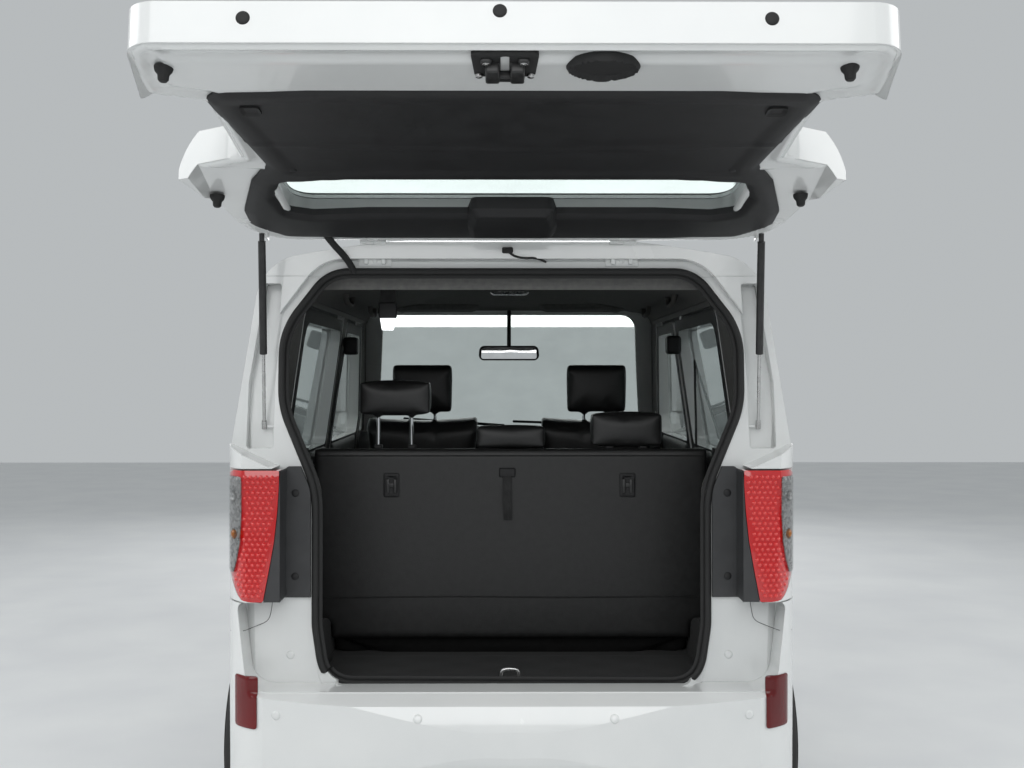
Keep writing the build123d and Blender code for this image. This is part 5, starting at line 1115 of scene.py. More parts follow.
def stuffed(name, solids, cell, swell, material, body, slot, fill, presses=(), pinned=None):
    """Remesh solids, let cloth swell them, and press their seams in."""
    mesh = bpy.data.meshes.new(name)
    corners, faces = [], []
    for points, sides in solids:
        faces += [[len(corners) + index for index in side] for side in sides]
        corners += points
    mesh.from_pydata(corners, [], faces)
    piece = bpy.data.objects.new(name, mesh)
    bpy.context.scene.collection.objects.link(piece)
    remesh = piece.modifiers.new("even", "REMESH")
    remesh.mode = "VOXEL"
    remesh.voxel_size = cell
    graph = bpy.context.evaluated_depsgraph_get()
    even = bpy.data.meshes.new_from_object(piece.evaluated_get(graph))
    piece.modifiers.clear()
    piece.data = even
    start = np.empty(len(even.vertices) * 3)
    even.vertices.foreach_get("co", start)
    start = start.reshape(-1, 3)
    moved = start.copy()
    held = piece.vertex_groups.new(name="held")
    weights = pinned(start) if pinned is not None else np.zeros(len(start))
    for index in np.nonzero(weights > 0)[0]:
        held.add([int(index)], float(weights[index]), "REPLACE")
    cloth = piece.modifiers.new("cover", "CLOTH")
    cloth.settings.use_pressure = True
    cloth.settings.uniform_pressure_force = PRESSURE
    cloth.settings.effector_weights.gravity = 0.0
    cloth.settings.mass = COVER_MASS
    cloth.settings.tension_stiffness = TENSION
    cloth.settings.bending_stiffness = BENDING
    if pinned is not None:
        cloth.settings.vertex_group_mass = "held"
    cloth.point_cache.frame_start = 1
    cloth.point_cache.frame_end = CLOTH_FRAMES
    scene = bpy.context.scene
    for step in range(1, CLOTH_FRAMES + 1):
        scene.frame_set(step)
    graph = bpy.context.evaluated_depsgraph_get()
    blown = piece.evaluated_get(graph).to_mesh()
    moved = np.empty(len(start) * 3)
    blown.vertices.foreach_get("co", moved)
    moved = moved.reshape(-1, 3)
    piece.modifiers.clear()
    shift = moved - start
    length = np.linalg.norm(shift, axis=1)
    capped = swell * np.tanh(length / swell)
    moved = start + shift * (capped / np.maximum(length, 1e-9))[:, None]
    scene.frame_set(1)
    bm = bmesh.new()
    bm.from_mesh(even)
    bm.verts.ensure_lookup_table()
    for corner, place in zip(bm.verts, moved):
        corner.co = place
    bmesh.ops.smooth_vert(bm, verts=bm.verts[:], factor=0.5, use_axis_x=True, use_axis_y=True, use_axis_z=True)
    bm.normal_update()
    for along, value, width, depth, where in presses:
        for corner in bm.verts:
            if where is None or where(corner.co, corner.normal):
                away = (corner.co[along] - value) / width
                corner.co -= corner.normal * depth * math.exp(-away * away)
    bpy.data.objects.remove(piece)
    made = settle_bm(bm, name, material, body, slot, sharp=80.0)
    return made


# %% [markdown]
# Rear bench: back and cushion are one solid. Its back is a board behind, which
# stays still, and padded in front, where the cover swells.

# %% Rear bench
BACK_FACE_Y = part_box("rear_bench")[1][1]
BOARD_THICK = 0.03


def still_board(points):
    """Hold the board side of the backrest."""
    return np.clip(1.0 - (BACK_FACE_Y - points[:, 1]) / BOARD_THICK, 0, 1)


def faces_front(place, normal):
    """Tell the padded side of a headrest or a chair."""
    return normal.y < -0.2


stuffed("bench_cover", islands_of("rear_bench"), 0.009, 0.024, *COVERED, 0.6, pinned=still_board)
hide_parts("rear_bench")

# %% [markdown]
# On the carpeted back: two covers over the child seat anchors, the pull strap
# that folds the back, and the welted seam where the load flap joins it.


# %% Backrest fittings
def on_board(x, z, out=0.0):
    """Give a point on the backrest's rear face."""
    return (x, BACK_FACE_Y + 0.001 + out, z)


for x, word in ((0.367, "left"), (-0.359, "right")):
    recess = slab(x - 0.024, x + 0.024, 0.945, 1.018, 0.006)
    patch("anchor_cover_" + word, recess, None, "back", *PLASTIC, pitch=0.005,
          depth=BACK_FACE_Y + 0.001, flat=True, lift=0.004,
          relief=dished(0.002, 0.004, 0.004, 0.008, 0.012),
          skirt=0.006)
    moulding("anchor_bar_" + word, [((x - 0.016, BACK_FACE_Y + 0.001, 0.975), (x + 0.016, BACK_FACE_Y + 0.006, 0.988)),
                                    ((x - 0.016, BACK_FACE_Y + 0.001, 0.957), (x - 0.006, BACK_FACE_Y + 0.007, 1.0)),
                                    ((x + 0.006, BACK_FACE_Y + 0.001, 0.957), (x + 0.016, BACK_FACE_Y + 0.007, 1.0))],
             *DARK_STEEL, bevel=0.0015)
STRAP = [(0.012, 1.022), (0.011, 0.985), (0.012, 0.94), (0.010, 0.90), (0.009, 0.874)]
STRAP_HALF = 0.0125
WEAVE = 2500
strap_outline = [(x - STRAP_HALF, z) for x, z in STRAP] + [(x + STRAP_HALF, z) for x, z in reversed(STRAP)]


def strap_sag(us, vs, apart):
    """Let the strap stand off the carpet between its ends."""
    along = (1.022 - vs) / 0.148
    return 0.003 + 0.012 * np.sin(np.clip(along, 0, 1) * math.pi) + 0.0006 * np.cos(us * WEAVE)


patch("pull_strap", strap_outline, None, "back", *WEBBING, pitch=0.004,
      depth=BACK_FACE_Y + 0.001, flat=True, relief=strap_sag, skirt=0.0016)
moulding("strap_mount", [((-0.014, BACK_FACE_Y, 1.006), (0.036, BACK_FACE_Y + 0.009, 1.034))], *PLASTIC, bevel=0.004)
line("backrest_welts", [[on_board(x, 0.637 + 0.0015 * math.sin(x * 9), 0.001) for x in np.linspace(-0.585, 0.585, 40)],
                        [on_board(x, 1.072, 0.001) for x in np.linspace(-0.59, 0.59, 30)]],
     0.005, *WEBBING, height=0.004, sides=8)
print("backrest fittings")

# %% [markdown]
# Headrests: two on chromed posts, the left one pulled up, and a low middle
# one. Blown up from their packed blocks they become cushions.

# %% Headrests
heads = islands_of("rear_headrests")
PAD_WIDTH = 0.15
blocks = [solid for solid in heads if max(p.x for p in solid[0]) - min(p.x for p in solid[0]) > PAD_WIDTH]
stuffed("rear_headrest_pads", blocks, 0.007, 0.014, *COVERED, 0.8,
        presses=[(2, z, 0.005, 0.004, faces_front) for z in (1.15, 1.25)])
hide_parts("rear_headrests")
posts = []
for x, low in ((0.36, 1.205), (-0.36, 1.105)):
    for side in (-0.052, 0.052):
        posts.append([(x + side, 0.646, 1.07), (x + side, 0.646, low + 0.03)])
line("headrest_posts", posts, 0.011, *CHROMED, sides=16)
moulding("post_guides", [((x + side - 0.013, 0.632, 1.088), (x + side + 0.013, 0.660, 1.104))
                         for x in (0.36, -0.36) for side in (-0.052, 0.052)], *PLASTIC,
         bevel=0.004)
print("headrests", len(blocks))

# %% [markdown]
# Front chairs: seen from behind are their backs and headrests, through the
# side windows their cushions. Bolsters stand up at both sides; the cover is
# pressed in along them.

# %% Front chairs
def on_cushion(place, normal):
    """Tell the upper side of the front cushions."""
    return normal.z > 0.2 and place.z < 0.75


stuffed("front_chair_pads", islands_of("front_chairs"), 0.010, 0.026, *COVERED, 0.7,
        presses=[(0, side * 0.35 + x, 0.014, 0.010, on_cushion) for side in (1, -1) for x in (-0.14, 0.14)]
        + [(0, side * 0.35 + x, 0.012, 0.014, faces_front) for side in (1, -1) for x in (-0.14, 0.14)]
        + [(2, 0.86, 0.010, 0.010, faces_front)])
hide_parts("front_chairs")
line("front_headrest_posts", [[(side * 0.35 + x, -0.476, 1.13), (side * 0.35 + x, -0.476, 1.22)]
                              for side in (1, -1) for x in (-0.05, 0.05)], 0.012, *CHROMED,
     sides=16)
print("soft goods done")

# %% [markdown]
# The load space: a carpeted floor board with a bound edge, the plastic sill
# the luggage slides over, with its fine ribs, the striker that the latch
# grips, and moulded side trims with a shallow pocket.

# %% Load space
VIEWS["in_left"] = (Vector((0, 0, 0)), Vector((0, 1, 0)), Vector((0, 0, 1)), Vector((-1, 0, 0)))
VIEWS["in_right"] = (Vector((0, 0, 0)), Vector((0, 1, 0)), Vector((0, 0, 1)), Vector((1, 0, 0)))
floor_top = surface_of("floor_pan")
board = slab(-0.543, 0.543, 0.705, 1.008, 0.02)


def tufted(us, vs, apart):
    """Raise a bound edge and let the carpet wave a little."""
    edge = rolled(0.004, 0.010)(us, vs, apart)
    return 0.006 * smooth(apart, 0, 0.006) + edge + 0.0008 * np.sin(us * 31) * np.cos(vs * 43)


patch("load_board", board, floor_top, "top", carpet, "body", "cloth_black", pitch=0.012, lift=0.001, relief=tufted,
      skirt=0.006)
SILL_TOP_Z = 0.468
one_rib = moulding("rib_shape", [((-0.003, -0.020, 0.0), (0.003, 0.020, 0.003))], *PLASTIC, bevel=0.0012)
rib_mesh = one_rib.data
bpy.data.objects.remove(one_rib)
RIB = bpy.data.objects.new("rib_pattern", rib_mesh)
RIB_GAP = 0.0125
ribs = [(Vector((x, 1.052, SILL_TOP_Z)), Vector((0, 0, 1)))
        for low, high in ((0.115, 0.372), (-0.372, -0.098)) for x in np.arange(low, high, RIB_GAP)]
copies("sill_ribs", ribs, RIB, *PLASTIC)
STRIKER = [(-0.022, 1.060, 0.468), (-0.022, 1.060, 0.492), (-0.014, 1.060, 0.504), (0.022, 1.060, 0.504),
           (0.030, 1.060, 0.492), (0.030, 1.060, 0.468)]
line("striker_loop", [STRIKER], 0.010, *BARE_STEEL, sides=14, smooth=True)
moulding("striker_plate", [((-0.038, 1.040, 0.4675), (0.046, 1.080, 0.4715))], *BARE_STEEL, bevel=0.003)
copies("striker_bolts", [(Vector((x, 1.060, 0.4715)), Vector((0, 0, 1))) for x in (-0.032, 0.040)], SCREW,
       *DARK_STEEL)
inner_trim = surface_of("load_trims")


def pocketed(us, vs, apart):
    """Press a pocket and run three ribs along the side trim."""
    pocket = smooth(0.09 - np.abs(us - 0.93), 0, 0.02) * smooth(0.10 - np.abs(vs - 0.66), 0, 0.02)
    ribs_up = 0.002 * np.exp(-((np.mod(vs, 0.08) - 0.04) / 0.006) ** 2) * (vs > 0.80)
    return 0.014 * smooth(apart, 0, 0.03) - 0.010 * pocket + ribs_up


for side, view, word in INNER_SIDES:
    trim_outline = rounded([(0.715, 0.60), (0.80, 0.62), (0.88, 0.62), (1.035, 0.50), (1.040, 1.07), (0.715, 1.07)],
                           [0.02, 0.05, 0.05, 0.02, 0.04, 0.04])
    patch("load_side_trim_" + word, trim_outline, inner_trim, view, *PLASTIC,
          pitch=0.012, lift=0.001, relief=pocketed, skirt=0.012, sharp=50.0)
print("load space")

# %% [markdown]
# Cabin pieces that show through the opening: the mirror's glass, sun visors,
# grab handles, the folded centre belt with its chromed tongue, belt webbing
# on the pillars, and the instrument panel's screen, vents and hood. The right
# side has no pillar between its doors, so its belt runs on the sliding door.

# %% Cabin
mirror_back = surface_of("inner_mirror")
patch("inner_mirror_glass", rounded([(-0.126, 1.393), (0.126, 1.393), (0.121, 1.445), (-0.121, 1.445)], 0.012),
      mirror_back, "back", chrome, "body", "lamp_clear", pitch=0.02, lift=0.0015,
      relief=raised(0.0008, 0.003), skirt=0.003)
roof_inside = surface_of("headliner", "roof_panel")
CABIN_Z = 1.3
VIEWS["under"] = (Vector((0, 0, CABIN_Z)), Vector((1, 0, 0)), Vector((0, 1, 0)), Vector((0, 0, -1)))


def ceiling(x, y):
    """Give the point of the headliner above a place."""
    return roof_inside.ray_cast(Vector((x, y, CABIN_Z)), Vector((0, 0, 1)))[0]


for side, word in SIDES:
    visor = slab(side * 0.13, side * 0.50, -0.945, -0.80, 0.04)
    patch("sun_visor_" + word, visor, roof_inside, "under", lining, "body", "headlining", pitch=0.012, lift=0.006,
          relief=raised(0.014, 0.035), skirt=0.008)
    for y, place in ((-0.55, "front"), (0.20, "rear")):
        x = side * 0.56
        top = ceiling(x, y)
        if top is None:
            continue
        z = top.z
        line("grab_handle_" + place + "_" + word,
             [[(x, y - 0.09, z + 0.002), (x, y - 0.08, z - 0.022), (x - side * 0.004, y - 0.04, z - 0.034),
               (x - side * 0.004, y + 0.04, z - 0.034), (x, y + 0.08, z - 0.022), (x, y + 0.09, z + 0.002)]],
             0.020, pillar_grain, "body", "grey_plastic", height=0.015, smooth=True)
if ceiling(0, -0.35) is not None:
    patch("roof_lamp", slab(-0.075, 0.075, -0.39, -0.31, 0.02), roof_inside, "under", *REFLECTOR_SILVER, pitch=0.01,
          lift=0.002, relief=raised(0.008, 0.012), skirt=0.006)
BELT_X, BELT_Y = 0.372, 0.75
BELT_WEAVE = 1900
belt_top = ceiling(BELT_X, BELT_Y)
belt_z = belt_top.z if belt_top is not None else 1.60
moulding("belt_outlet", [((BELT_X - 0.040, BELT_Y - 0.035, belt_z - 0.012),
                          (BELT_X + 0.040, BELT_Y + 0.035, belt_z + 0.002))],
         *PLASTIC, bevel=0.005)
patch("belt_webbing", [(BELT_X - 0.023, belt_z), (BELT_X - 0.023, 1.535), (BELT_X + 0.023, 1.535),
                       (BELT_X + 0.023, belt_z)], None, "back", *WEBBING, pitch=0.006,
      depth=BELT_Y, flat=True,
      relief=lambda us, vs, apart: 0.004 * np.sin((vs - 1.5) * 40) + 0.0003 * np.cos(us * BELT_WEAVE), skirt=0.0014)
moulding("belt_buckle", [((BELT_X - 0.027, BELT_Y - 0.010, 1.492), (BELT_X + 0.027, BELT_Y + 0.010, 1.540))],
         *PLASTIC, bevel=0.005)
tongue = rounded([(BELT_X - 0.018, 1.455), (BELT_X + 0.018, 1.455), (BELT_X + 0.024, 1.495), (BELT_X - 0.024, 1.495)],
                 0.006)
patch("belt_tongue", tongue, None, "back", *CHROMED,
      holes=[slab(BELT_X - 0.008, BELT_X + 0.008, 1.464, 1.478, 0.003)],
      pitch=0.01, depth=BELT_Y + 0.001, flat=True, lift=0.001, skirt=0.003)
NO_PILLAR_SHIFT = 0.16
inner_frames = {1: surface_of("side_frame_left", "door_front_left", "door_rear_left"),
                -1: surface_of("side_frame_right", "door_front_right", "door_sliding_right")}
for side, view, word in INNER_SIDES:
    back = 0.0 if side > 0 else NO_PILLAR_SHIFT
    strip = [(-0.400 + back, 0.52), (-0.354 + back, 0.52), (-0.372 + back, 1.42), (-0.418 + back, 1.42)]
    patch("pillar_belt_" + word, strip, inner_frames[side], view, *WEBBING, pitch=0.012, lift=0.006, skirt=0.0016,
          relief=lambda us, vs, apart: 0.004 * np.sin(vs * 5) + 0.0003 * np.cos(us * BELT_WEAVE))
    inmost, outmost = sorted((side * 0.60, side * 0.655))
    moulding("pillar_belt_guide_" + word, [((inmost, -0.43 + back, 1.40), (outmost, -0.36 + back, 1.47))], *PLASTIC,
             bevel=0.012)
dash_face = surface_of("dashboard")
SLAT_GAP = 0.014
patch("dash_screen", slab(-0.105, 0.105, 0.862, 0.985, 0.012), dash_face,
      "back", black_steel, "body", "black_plastic", pitch=0.012, lift=0.006,
      relief=dished(0.004, 0.006, 0.003, 0.008, 0.010), skirt=0.012)


def slatted(us, vs, apart):
    """Set five slats in a rounded frame."""
    inner = smooth(apart, 0.006, 0.009)
    return 0.006 * smooth(apart, 0, 0.004) - inner * (0.004 + 0.003 * np.cos(vs * 2 * math.pi / SLAT_GAP))


for x in (0.615, 0.165, -0.165, -0.615):
    vent = slab(x - 0.045, x + 0.045, 0.905, 0.972, 0.012)
    patch("vent_%d" % round(x * 1000), vent, dash_face, "back", *PLASTIC, pitch=0.0045,
          lift=0.002, relief=slatted, skirt=0.008)
hood = rounded([(0.235, 0.955), (0.465, 0.955), (0.455, 1.030), (0.245, 1.030)], 0.03)
patch("instrument_hood", hood, dash_face, "back", *PLASTIC, pitch=0.008, lift=0.010,
      relief=dished(0.040, 0.012, 0.034, 0.014, 0.020), skirt=0.03)
glove = slab(-0.52, -0.20, 0.66, 0.80, 0.02)
patch("glove_lid", glove, dash_face, "back", *PLASTIC, pitch=0.02, lift=0.001,
      relief=raised(0.004, 0.004), skirt=0.006)
line("gear_lever", [[(0.03, -1.10, 0.80), (0.03, -1.085, 0.86), (0.03, -1.075, 0.905)]], 0.016, *DARK_STEEL,
     smooth=True)
KNOB = pattern("knob_shape", ((0, 0.026), (0.012, 0.024), (0.019, 0.012), (0.020, 0.0), (0.016, -0.016),
                              (0.009, -0.026)), 24)
BOOT = pattern("boot_shape", ((0.010, 0.05), (0.014, 0.04), (0.022, 0.032), (0.026, 0.024), (0.040, 0.018),
                              (0.046, 0.008), (0.056, 0.004), (0.058, -0.004)), 28)
copies("gear_knob", [(Vector((0.03, -1.073, 0.918)), Vector((0, 0.2, 1)))], KNOB, leather, "body", "black_plastic")
copies("gear_boot", [(Vector((0.03, -1.10, 0.802)), Vector((0, 0.1, 1)))], BOOT, *COVERED)
print("cabin")

# %% [markdown]
# Door linings. Each is one moulding with an armrest standing out of it, a
# map pocket below and a chromed release lever.

# %% Door linings
WINDOW_FOOT = 1.045


def armrest(centre_u, long_u):
    """Make the relief of a door lining."""
    def form(us, vs, apart):
        reach = np.clip((long_u - np.abs(us - centre_u)) / 0.06, 0, 1)
        arm = 0.042 * np.exp(-((vs - 0.80) / 0.036) ** 2) * reach * smooth(apart, 0, 0.03)
        pocket = 0.024 * smooth(0.075 - np.abs(vs - 0.53), 0, 0.02) * reach * smooth(apart, 0, 0.03)
        return 0.008 * smooth(apart, 0, 0.015) + arm + pocket
    return form


DOOR_NODES = (("door_front_left", 1, "in_left"), ("door_rear_left", 1, "in_left"),
              ("door_front_right", -1, "in_right"), ("door_sliding_right", -1, "in_right"))
for name, side, view in DOOR_NODES:
    (_, y0, _), (_, y1, _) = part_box(name)
    body = body_of(name)
    face = surface_of(name)
    rear = "front" not in name
    low, high = y0 + 0.085, y1 - 0.085
    if rear:
        shape = [(low, 0.43), (high - 0.24, 0.43), (high - 0.16, 0.60), (high, 0.70), (high, WINDOW_FOOT),
                 (low, WINDOW_FOOT)]
        radii = [0.04, 0.08, 0.10, 0.06, 0.02, 0.02]
    else:
        low += 0.06
        shape = [(low, 0.43), (high, 0.43), (high, WINDOW_FOOT), (low, WINDOW_FOOT)]
        radii = [0.05, 0.04, 0.02, 0.02]
    middle = (low + high) / 2
    patch("lining_" + name, rounded(shape, radii), face, view, black_grain, body, "black_plastic", pitch=0.014,
          lift=0.001, relief=armrest(middle - 0.02, 0.24), skirt=0.010, sharp=50.0)
    hit = face.ray_cast(Vector((0, low + 0.10, 0.93)), Vector((side, 0, 0)))[0]
    if hit is not None:
        x = hit.x - side * 0.012
        moulding("release_lever_" + name,
                 [((min(x, x + side * 0.012), low + 0.06, 0.915), (max(x, x + side * 0.012), low + 0.15, 0.945))],
                 chrome, body, "bare_steel", bevel=0.005)
print("door linings")

# %% [markdown]
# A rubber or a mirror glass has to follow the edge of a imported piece. Its
# outline is found by rows of rays, and its points are dropped on the surface.


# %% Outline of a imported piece
def outline_of(surface, view, us, vs):
    """Scan rows of rays and give the outline of what they meet."""
    origin, across, up, away = seen_from(view)
    right, left = [], []
    for v in vs:
        met = [float(u) for u in us
               if surface.ray_cast(origin + across * float(u) + up * float(v), -away)[0] is not None]
        if met:
            right.append((max(met), float(v)))
            left.append((min(met), float(v)))
    return right + left[::-1]


def laid(surface, view, loop, lift):
    """Drop the points of a loop on a surface."""
    origin, across, up, away = seen_from(view)
    found = []
    for u, v in loop:
        hit = surface.ray_cast(origin + across * u + up * v, -away)[0]
        if hit is not None:
            found.append(tuple(hit + away * lift))
    return found


# %% [markdown]
# Rubber runs round every side window, and each door mirror gets its glass.

# %% Window rubbers and mirror glasses
for pane, door, side, view in (("glass_front_left", "door_front_left", 1, "left"),
                               ("glass_rear_left", "door_rear_left", 1, "left"),
                               ("glass_front_right", "door_front_right", -1, "right"),
                               ("glass_sliding_right", "door_sliding_right", -1, "right")):
    (_, y0, z0), (_, y1, z1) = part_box(pane)
    edge = outline_of(surface_of(pane), view, np.arange(y0 - 0.01, y1 + 0.01, 0.003),
                      np.linspace(z0 + 0.003, z1 - 0.003, 34))
    both = surface_of(pane, door)
    path = laid(both, view, outset(edge, 0.004), 0.001)
    body = body_of(door)
    line("window_rubber_" + door, [path], 0.010, soft_rubber, body, "seal_rubber", height=0.006, sides=8, closed=True)
FEWEST_POINTS = 8
GLASS_SHARE = 0.84
for name, side, word in (("door_front_left", 1, "left"), ("door_front_right", -1, "right")):
    housing = surface_of(name)
    edge = outline_of(housing, "back", np.arange(0.80, 0.93, 0.002) * side, np.linspace(1.02, 1.24, 40))
    ring = np.array(edge)
    if len(ring) > FEWEST_POINTS:
        middle = (ring.min(axis=0) + ring.max(axis=0)) / 2
        glass_line = [tuple(middle + (point - middle) * GLASS_SHARE) for point in ring]
        patch("door_mirror_glass_" + word, glass_line, housing, "back", chrome, name, "lamp_clear", pitch=0.02,
              lift=0.001, relief=raised(0.001, 0.004), skirt=0.003)
print("windows and mirrors")

# %% [markdown]
# The nose: the headlamps' reflectors and bulbs behind their clear covers, bars
# in the grille, and fog lamps in the bumper.

# %% Front end
front_lamps = surface_of("headlamps")
MAIN_X, TURN_X, BEAM_Z = 0.50, 0.64, 0.79
TRAY_SHARE = 0.90
for side, word in SIDES:
    edge = outline_of(front_lamps, "front", np.arange(0.40, 0.79, 0.004) * side, np.linspace(0.708, 0.866, 24))
    ring = np.array(edge)
    middle = ring.mean(axis=0)
    inner_line = [tuple(middle + (point - middle) * TRAY_SHARE) for point in ring]

    def bowls(us, vs, apart, side=side):
        """Sink two reflector bowls behind the clear cover."""
        return -0.030 * sum(np.exp(-(((us - side * x) / 0.048) ** 2 + ((vs - BEAM_Z) / 0.042) ** 2) ** 2)
                            for x in (MAIN_X, TURN_X))

    patch("headlamp_tray_" + word, inner_line, front_lamps, "front", *REFLECTOR_SILVER, pitch=0.010,
          lift=-0.010, relief=bowls, skirt=0.012)
    for x, material, tag in ((MAIN_X, clear_lens, "main"), (TURN_X, amber, "turn")):
        hit = front_lamps.ray_cast(Vector((side * x, -3, BEAM_Z)), Vector((0, 1, 0)))[0]
        if hit is not None:
            copies("headlamp_bulb_%s_%s" % (tag, word), [(hit + Vector((0, 0.030, 0)), Vector((0, -1, 0)))], DOME,
                   material, "body", "lamp_clear", scale=3.2)
BAR_GAP = 0.022
patch("grille_bars", slab(-0.392, 0.392, 0.722, 0.832, 0.01), surface_of("grille"), "front", *PLASTIC, pitch=0.006,
      lift=0.001, skirt=0.004,
      relief=lambda us, vs, apart: (0.003 + 0.003 * np.cos(vs * 2 * math.pi / BAR_GAP)) * smooth(apart, 0, 0.006))
nose = surface_of("front_bumper")
for side, word in SIDES:
    spot, lens_spot = [[(side * 0.56 + reach * math.cos(t), 0.345 + reach * math.sin(t))
                        for t in np.linspace(0, 2 * math.pi, count, endpoint=False)]
                       for reach, count in ((0.038, 32), (0.028, 28))]
    patch("fog_lamp_rim_" + word, spot, nose, "front", *PLASTIC, pitch=0.006, lift=0.001,
          relief=rolled(0.006, 0.012), skirt=0.004)
    patch("fog_lamp_lens_" + word, lens_spot, nose, "front", *REFLECTOR_SILVER, pitch=0.005, lift=0.003,
          relief=raised(0.004, 0.02), skirt=0.004)
print("front end")

# %% [markdown]
# The tailgate's outside: the handle's moulding, the field for the plate with
# its lamps above it, and the rubber round the window.

# %% Outside of the tailgate
outer_face = surface_of("tailgate", shut=True)
garnish = rounded([(-0.24, 0.86), (0.24, 0.86), (0.235, 0.905), (-0.235, 0.905)], 0.012)
patch("tailgate_garnish", garnish, outer_face, "back", *GATE_PAINT, pitch=0.010, lift=0.001,
      relief=raised(0.016, 0.016), skirt=0.006, shut=True)
plate_field = slab(-0.20, 0.20, 0.69, 0.845, 0.012)
patch("plate_field", plate_field, outer_face, "back", *GATE_PAINT, pitch=0.010, lift=0.0006,
      relief=rolled(0.005, 0.014), skirt=0.004, shut=True)
patch("plate_lamps", slab(-0.09, 0.09, 0.848, 0.858, 0.003), outer_face, "back",
      tray_silver, "tailgate", "lamp_clear", pitch=0.006, lift=0.004, skirt=0.006, shut=True)
glass_edge = rounded(both_halves(((0.560, 1.120), (0.600, 1.190), (0.560, 1.500))),
                     [0.04, 0.06, 0.06, 0.06, 0.06, 0.04])
both_faces = surface_of("tailgate", "tailgate_glass", shut=True)
rubber_path = laid(both_faces, "back", outset(glass_edge, 0.003), 0.0)
line("rear_glass_rubber", [rubber_path], 0.012, *GATE_RUBBER, height=0.006, sides=8, closed=True, shut=True)
print("tailgate's outside")

# %% [markdown]
# Wheels. A tyre's tread is one shoulder block and two middle blocks, copied
# round the tyre. Nuts, a valve and a blank cap finish the rim, and the brake
# disc shows between the spokes. Coil springs stand over the front knuckles.

# %% Wheels
FRONT_AXLE_Y, REAR_AXLE_Y = -1.684, 0.836
WHEEL_PLACES = (("front_left", 1, FRONT_AXLE_Y), ("front_right", -1, FRONT_AXLE_Y), ("rear_left", 1, REAR_AXLE_Y),
                ("rear_right", -1, REAR_AXLE_Y))
AXLE_Z = 0.278
CROWN = 0.278
HALF_TRACK = 0.705
SHOULDER_OUT = 0.071
SHOULDER_COUNT = 56


def block(name, length, width, height):
    """Make a bevelled tread block, its foot at the origin."""
    bm = bmesh.new()
    for corner in bmesh.ops.create_cube(bm, size=1.0)["verts"]:
        taper = 0.90 if corner.co.z > 0 else 1.0
        corner.co = Vector((corner.co.x * width * taper, corner.co.y * length * taper, (corner.co.z - 0.35) * height))
    mesh = bpy.data.meshes.new(name)
    bm.to_mesh(mesh)
    bm.free()
    return bpy.data.objects.new(name, mesh)


MIDDLE_BLOCK = block("middle_block", 0.021, 0.024, 0.006)
SHOULDER_BLOCK = block("shoulder_block", 0.018, 0.020, 0.006)
NUT = pattern("nut_shape", ((0, 0.017), (0.006, 0.016), (0.0105, 0.012), (0.0105, 0.0), (0.014, -0.002)), 6)
HUB_CAP = pattern("hub_cap_shape", ((0, 0.012), (0.018, 0.011), (0.025, 0.007), (0.028, 0.001), (0.029, -0.008)), 32)
VALVE = pattern("valve_shape", ((0, 0.030), (0.003, 0.030), (0.004, 0.026), (0.004, 0.014), (0.003, 0.013),
                                (0.0055, 0.002), (0.006, -0.004)), 12)
ROWS = ((0.0, 0.0), (0.030, 0.5), (-0.030, 0.5))
ROW_COUNT = 62
VALVE_ANGLE = math.radians(250)
WALL_RINGS = ((0.196, 0.083), (0.222, 0.088), (0.246, 0.0865))
for word, side, axle_y in WHEEL_PLACES:
    body = "wheel_" + word
    centre = Vector((side * HALF_TRACK, axle_y, AXLE_Z))
    tread, shoulder = [], []
    for across, phase in ROWS:
        for i in range(ROW_COUNT):
            turn = 2 * math.pi * (i + phase) / ROW_COUNT
            out = Vector((0, math.cos(turn), math.sin(turn)))
            tread.append((centre + Vector((across, 0, 0)) + out * (CROWN - 0.0032), out))
    for edge in (1, -1):
        for i in range(SHOULDER_COUNT):
            turn = 2 * math.pi * (i + 0.25 * edge) / SHOULDER_COUNT
            out = Vector((edge * 0.62, math.cos(turn) * 0.78, math.sin(turn) * 0.78))
            ring = Vector((0, math.cos(turn), math.sin(turn)))
            shoulder.append((centre + Vector((edge * SHOULDER_OUT, 0, 0)) + ring * (CROWN - 0.0095), out))
    copies("tread_" + word, tread, MIDDLE_BLOCK, tyre_black, body, "tyre_rubber")
    copies("tread_shoulders_" + word, shoulder, SHOULDER_BLOCK, tyre_black, body, "tyre_rubber")
    out = Vector((side, 0, 0))
    rim_face = surface_of("rim_" + word, "knuckle_left", "knuckle_right", "rear_axle")

    def on_wheel(radius, turn, far=1.0):
        """Give the rim's outer face at a place round the wheel."""
        place = centre + Vector((0, math.cos(turn) * radius, math.sin(turn) * radius))
        hit = rim_face.ray_cast(Vector((side * far, place.y, place.z)), -out)[0]
        return hit if hit is not None else place + out * 0.05

    copies("wheel_nuts_" + word, [(on_wheel(0.050, math.radians(45 + 90 * i)), out) for i in range(4)], NUT,
           bare_steel, body, "bare_steel")
    copies("hub_cap_" + word, [(centre + out * (on_wheel(0.040, 0.8) - centre).dot(out), out)], HUB_CAP, rim_silver,
           body, "bare_steel")
    lean = (side * 0.8, -math.cos(VALVE_ANGLE) * 0.6, -math.sin(VALVE_ANGLE) * 0.6)
    copies("valve_" + word, [(on_wheel(0.168, VALVE_ANGLE), lean)], VALVE, soft_rubber, body, "seal_rubber")
    rings = []
    for radius, far in WALL_RINGS:
        rings.append([tuple(centre + Vector((side * far, math.cos(t) * radius, math.sin(t) * radius)))
                      for t in np.linspace(0, 2 * math.pi, 72, endpoint=False)])
    line("tyre_wall_rings_" + word, rings, 0.003, tyre_black, body, "tyre_rubber", height=0.003, sides=6, closed=True)
KINGPIN_X, KINGPIN_LEAN = 0.617, 0.1835
COIL_FOOT_Z, COIL_RISE, COIL_TURNS, COIL_RADIUS = 0.50, 0.034, 5.5, 0.050
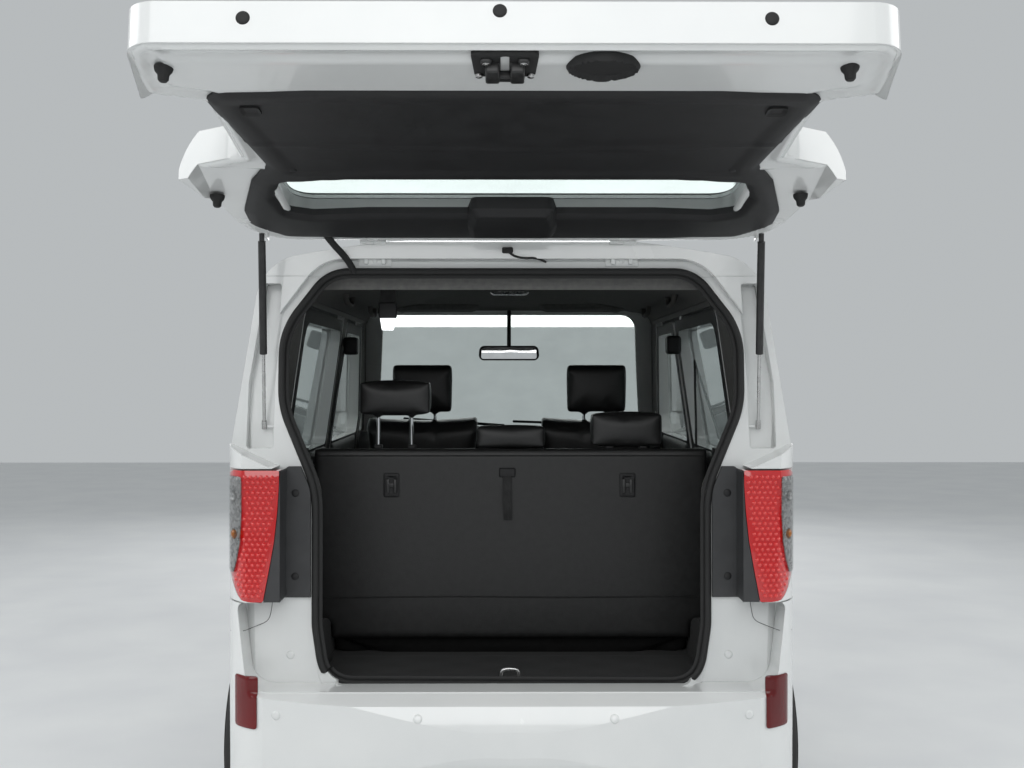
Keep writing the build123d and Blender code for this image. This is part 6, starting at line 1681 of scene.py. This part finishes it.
for side, word in SIDES:
    coil = []
    for t in np.linspace(0, 2 * math.pi * COIL_TURNS, 150):
        z = COIL_FOOT_Z + COIL_RISE * t / (2 * math.pi)
        middle = KINGPIN_X - KINGPIN_LEAN * (z - AXLE_Z)
        coil.append((side * (middle + COIL_RADIUS * math.cos(t)), FRONT_AXLE_Y + COIL_RADIUS * math.sin(t), z))
    line("front_spring_" + word, [coil], 0.012, *DARK_STEEL, sides=8)
print("wheels")

# %% [markdown]
# The studio: a wide pale floor under a bright sky, and four large soft lights
# round the car. One of them stands behind the camera, as in the photograph.


# %% Floor and lights
def sheet_of(name, corners, material):
    """Make one flat face."""
    mesh = bpy.data.meshes.new(name)
    mesh.from_pydata(corners, [], [tuple(range(len(corners)))])
    made = bpy.data.objects.new(name, mesh)
    made.data.materials.append(material)
    bpy.context.scene.collection.objects.link(made)
    return made


floor_finish = finish("floor_finish", (0.62, 0.63, 0.64), (0.68, 0.69, 0.69), (0.5, 0.6), scale=2.0, bump=0.02)
FLOOR_REACH = 14.0
FLOOR_Z = -0.001
floor_corners = [(x * FLOOR_REACH, y * FLOOR_REACH, FLOOR_Z) for x, y in ((-1, -1), (1, -1), (1, 1), (-1, 1))]
floor = sheet_of("floor", floor_corners, floor_finish)
world = bpy.data.worlds.new("studio")
world.use_nodes = True
sky = world.node_tree.nodes["Background"]
sky.inputs["Color"].default_value = (0.86, 0.9, 0.92, 1)
sky.inputs["Strength"].default_value = 0.55
bpy.context.scene.world = world
LIGHT_SIZE = 4.0
LIGHTS = (("key_light", (0.4, 5.5, 3.4), (0, 0.9, 0.9), 105.0), ("left_light", (4.6, 1.2, 3.6), (0, 0, 0.9), 110.0),
          ("right_light", (-4.6, 1.2, 3.6), (0, 0, 0.9), 110.0), ("front_light", (0, -6, 3.6), (0, 0, 0.9), 120.0))
for name, place, aim, power in LIGHTS:
    lamp = bpy.data.lights.new(name, "AREA")
    lamp.size = LIGHT_SIZE
    lamp.energy = power
    holder = bpy.data.objects.new(name, lamp)
    holder.location = place
    holder.rotation_euler = (Vector(aim) - Vector(place)).to_track_quat("-Z", "Y").to_euler()
    bpy.context.scene.collection.objects.link(holder)
bpy.context.scene.view_settings.view_transform = "Standard"
print("lights", len(LIGHTS))
